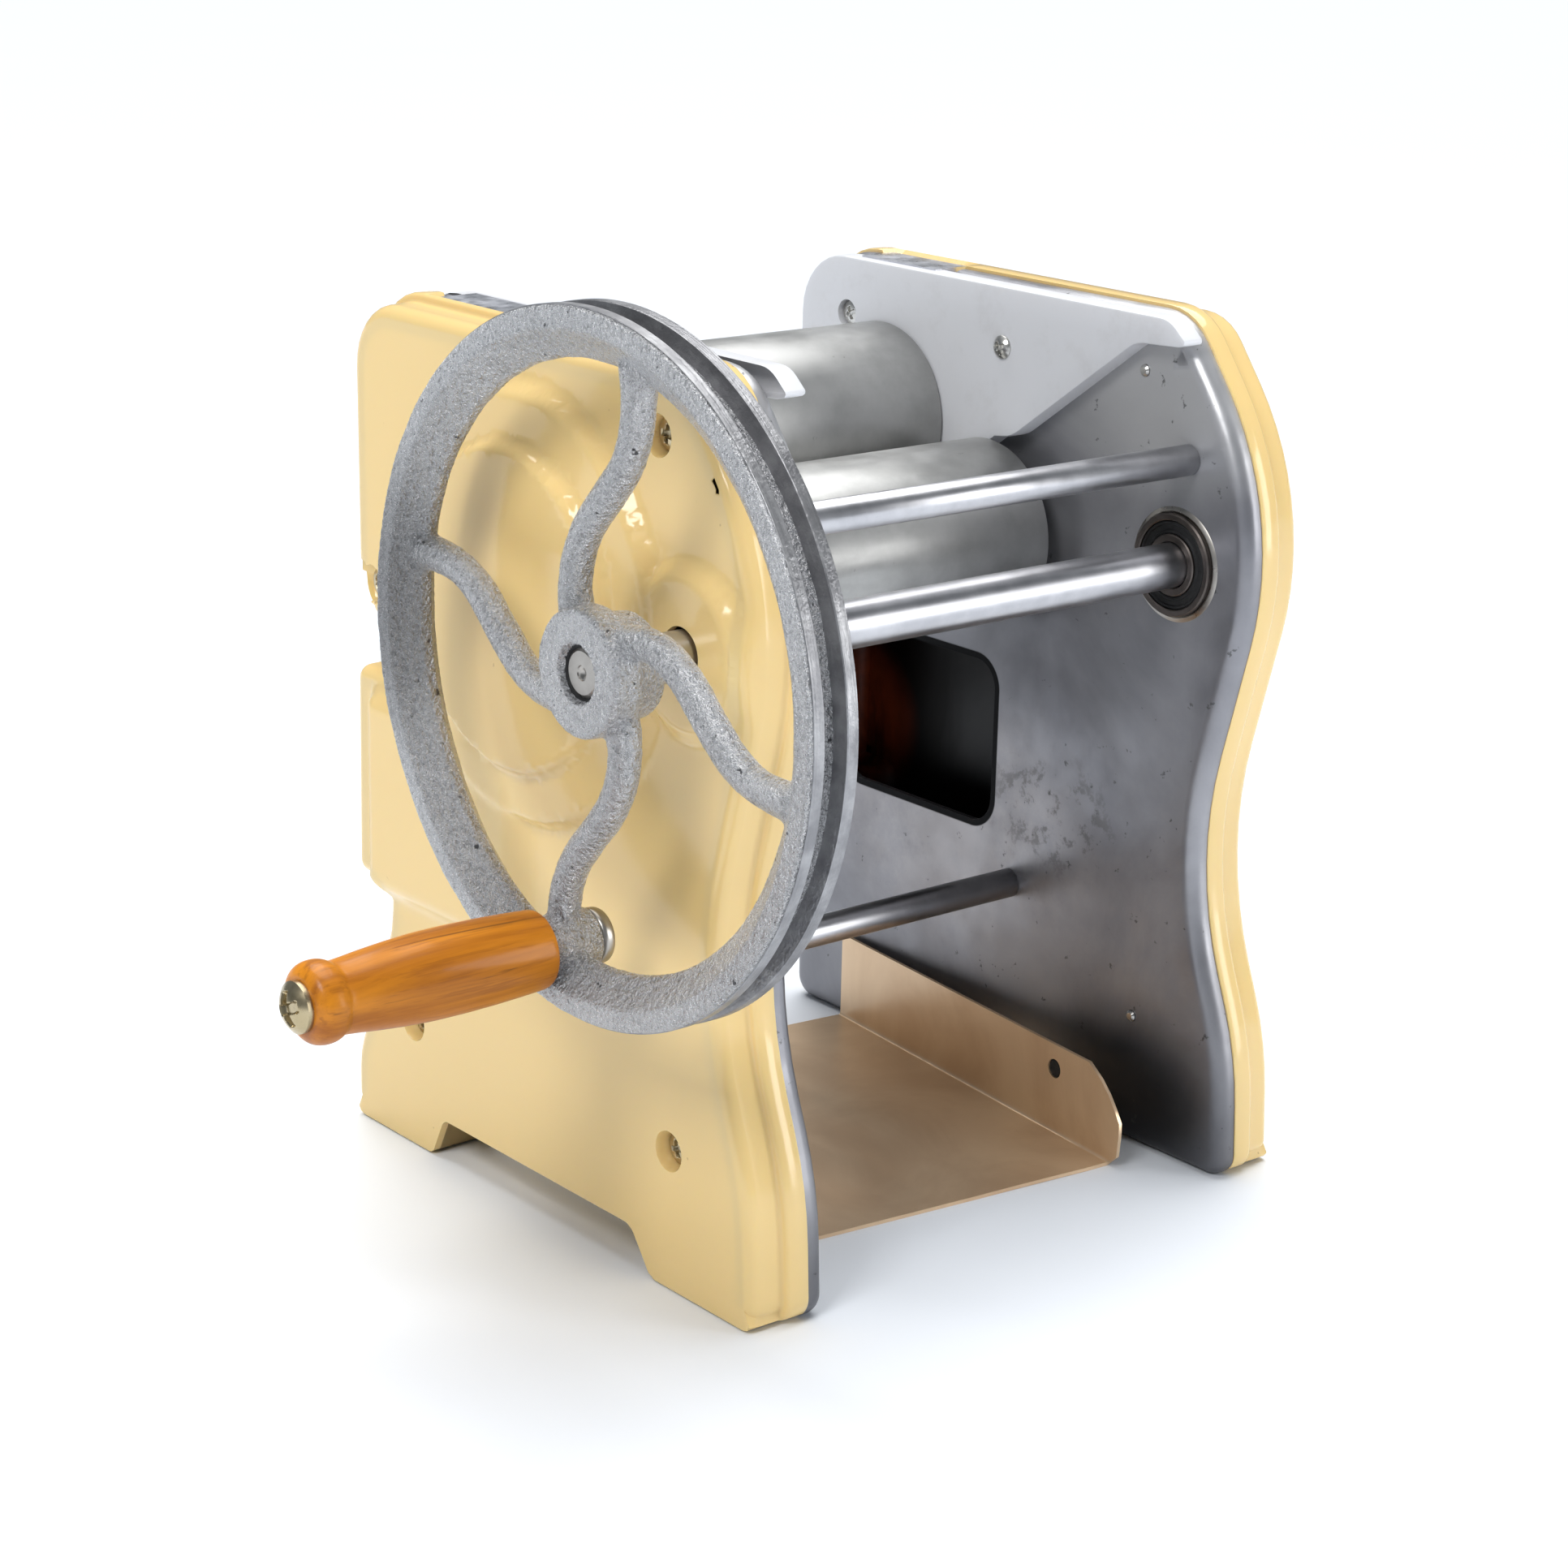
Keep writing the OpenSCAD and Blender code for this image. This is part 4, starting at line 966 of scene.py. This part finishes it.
def tray():
    """Folded sheet channel: floor, two walls with a hole and cut-back front corners."""
    mesh = frame["nodes"]["catch_tray"].data
    low_z = min(v.co.z for v in mesh.vertices) / MM
    floor = sorted({(round(v.co.x / MM, 1), round(v.co.y / MM, 1)) for v in mesh.vertices
                    if v.co.z / MM < low_z + 0.05})
    far_front = min(floor, key=lambda p: p[1] - 0.02 * p[0])
    turn = math.radians(-6)
    back = Vector((-math.sin(turn), math.cos(turn)))
    across = Vector((-math.cos(turn), -math.sin(turn)))
    wide, long_, high, thick, bend = 118.0, 134.0, 27.0, 1.0, 1.8
    corner = Vector(far_front)

    def section():
        pts = [(0.0, high)]
        pts += [(0.0, high * (1 - k / 8)) for k in range(1, 8)]
        turns = (0, 0.4, 0.8, 1.2, math.pi / 2)
        pts += [(bend * (1 - math.cos(a)), bend * (1 - math.sin(a))) for a in turns]
        pts += [(bend + (wide - 2 * bend) * k / 16, 0.0) for k in range(1, 16)]
        pts += [(wide - bend * (1 - math.cos(a)), bend * (1 - math.sin(a))) for a in turns[::-1]]
        pts += [(wide, high * k / 8) for k in range(1, 9)]
        return pts

    def front_edge(h):
        """How far the wall's front edge lies behind the floor's front edge at a height."""
        if h < 4:
            return 1.0 - 3.4 * smooth_step(0, 4, h)
        if h < 13:
            return -2.4 - 0.6 * smooth_step(4, 13, h)
        return -3.0 + 11.5 * ((h - 13) / (high - 13)) ** 1.15 + 3.2 * smooth_step(22, high, h)

    rows = 46
    verts, faces = [], []
    shape = section()
    for i in range(rows + 1):
        t = i / rows
        for a, h in shape:
            start = front_edge(h) if (a < bend or a > wide - bend) else 0.6
            d = start + (long_ - start) * t
            dent = 0.25 * noise.noise(Vector((a, d, 3)) * 0.02) if bend < a < wide - bend else 0.0
            p = corner + back * d + across * a
            verts.append((p.x, p.y, low_z + h + max(0, dent)))
    n = len(shape)
    for i in range(rows):
        for k in range(n - 1):
            faces.append([i * n + k, i * n + k + 1, (i + 1) * n + k + 1, (i + 1) * n + k])
    obj = make("tray_sheet", verts, faces, TRAY, "tray", ["catch_tray"], 60)
    up = sum(p.normal.z * p.area for p in obj.data.polygons) > 0
    add_modifier(obj, "SOLIDIFY", thickness=thick * MM, offset=1.0 if up else -1.0)
    punch_holes(obj, corner, back, across, low_z, wide)
    # painted shade: a black disc fills each wall's hole, where only shade shows behind
    for name, a in (("far", -0.4), ("near", wide + 0.4)):
        tray_hole_painted_shade(name + "_tray_hole_painted_shade", corner + back * TRAY_HOLE[0] + across * a, low_z + TRAY_HOLE[1], turn)


def punch_holes(obj, corner, back, across, low_z, wide):
    """A screw hole near the front of each wall."""
    centre = corner + back * TRAY_HOLE[0] + across * (wide / 2)
    bpy.ops.mesh.primitive_cylinder_add(vertices=40, radius=2.8 * MM, depth=(wide + 20) * MM,
                                        location=(centre.x * MM, centre.y * MM, (low_z + TRAY_HOLE[1]) * MM))
    cutter = bpy.context.object
    cutter.rotation_euler = (0, math.pi / 2, math.atan2(across.y, across.x))
    bpy.context.view_layer.update()
    add_modifier(obj, "BOOLEAN", object=cutter, operation="DIFFERENCE", solver="EXACT")
    apply_modifiers(obj, 40)
    bpy.data.objects.remove(cutter)


def tray_hole_painted_shade(name, centre, z, turn):
    """Black disc in a wall's hole, painting the shade seen through it."""
    profile = [(-1.3, 0), (-1.3, 2.2), (-0.9, 2.75), (0.9, 2.75), (1.3, 2.2), (1.3, 0)]
    verts, faces = lathe_parts(Vector((0, 0)), profile, 32)
    spot = Vector((centre.x, centre.y, z))
    swing = Matrix.Rotation(turn, 3, "Z")
    make(name, [spot + swing @ Vector(v) for v in verts], faces, RUBBER_AND_SHADE, "tray")


# ---------------------------------------------------------------- CAD nodes that are shown as they are
CAD_LOOKS = {
    "tie_rod_screws": ZINC, "bearing_housings": ZINC, "roller_bushes": BRONZE, "block_guides": ZINC,
    "scrapers": ZINC, "top_strips": STRIP, "hub_set_screw": BLACK_STEEL, "pinion": GEAR,
    "shaft_circlips": BLACK_STEEL, "drive_gear": GEAR, "front_mesh_gear": GEAR, "front_gear_screws": ZINC,
    "slide_blocks": BRONZE, "rear_mesh_gear": GEAR, "rear_gear_screw": ZINC, "adjuster_shaft": BRIGHT,
    "scroll_cams": GEAR, "thickness_knob": BLACK, "knob_screw": ZINC}


def dress_cad_nodes():
    for node, material in CAD_LOOKS.items():
        mesh = frame["nodes"][node].data
        mesh.materials.clear()
        mesh.materials.append(material)


# ---------------------------------------------------------------- studio
def floor():
    bpy.ops.mesh.primitive_plane_add(size=120, location=(0, 0, 0))
    obj = bpy.context.object
    obj.name = "floor"
    m = Material("studio_floor")
    m.shade(Base_Color=m.mix(m.noise(4, 2), rgb(0.835, 0.87, 0.92), rgb(0.845, 0.88, 0.93)), Roughness=0.6,
            Specular_IOR_Level=0.25)
    obj.data.materials.append(m.mat)


def area_light(name, place, target, size, power, colour=(1, 1, 1)):
    data = bpy.data.lights.new(name, "AREA")
    data.shape = "RECTANGLE"
    data.size, data.size_y = size
    data.energy = power
    data.color = colour
    obj = bpy.data.objects.new(name, data)
    obj.location = place
    obj.rotation_euler = (Vector(target) - Vector(place)).to_track_quat("-Z", "Y").to_euler()
    bpy.context.scene.collection.objects.link(obj)


def sun(name, towards, angle, strength):
    data = bpy.data.lights.new(name, "SUN")
    data.angle = math.radians(angle)
    data.energy = strength
    obj = bpy.data.objects.new(name, data)
    obj.rotation_euler = Vector(towards).to_track_quat("-Z", "Y").to_euler()
    bpy.context.scene.collection.objects.link(obj)


def lights():
    middle = (0, 0, 0.11)
    sun("overhead", (-0.25, -0.3, -1), 60, 3.5)
    area_light("key_left", (-1.0, -0.35, 1.1), middle, (0.5, 0.5), 10)
    area_light("front_right", (1.1, -1.5, 0.5), middle, (0.6, 1.0), 11)
    world = bpy.data.worlds.new("studio")
    world.use_nodes = True
    world.node_tree.nodes["Background"].inputs["Color"].default_value = rgb(0.84, 0.92, 1)
    world.node_tree.nodes["Background"].inputs["Strength"].default_value = 0.2
    bpy.context.scene.world = world


def camera():
    """The photograph's view: solved position, direction and roll."""
    data = bpy.data.cameras.new("view")
    data.lens = 78.75
    data.sensor_width = 36
    obj = bpy.data.objects.new("view", data)
    right = Vector((0.77572, -0.63073, 0.02088))
    up = Vector((0.16853, 0.23893, 0.95630))
    forward = Vector((0.60816, 0.73830, -0.29164))
    from_shaft = Vector((-577.1, -674.8 + 51.2, 377.0 - 168.4))
    place = Vector((MID + from_shaft.x, SHAFT.x + from_shaft.y, SHAFT.y + from_shaft.z))
    rows = [(r, u, -f, p * MM) for r, u, f, p in zip(right, up, forward, place)]
    obj.matrix_world = Matrix((*rows, (0, 0, 0, 1)))
    bpy.context.scene.collection.objects.link(obj)
    bpy.context.scene.camera = obj


dress_cad_nodes()
sides()
wheel()
rollers()
crank_shaft()
bearings()
rods()
cheeks()
screws()
tray()
floor()
lights()
camera()
bpy.context.scene.view_settings.view_transform = "Standard"
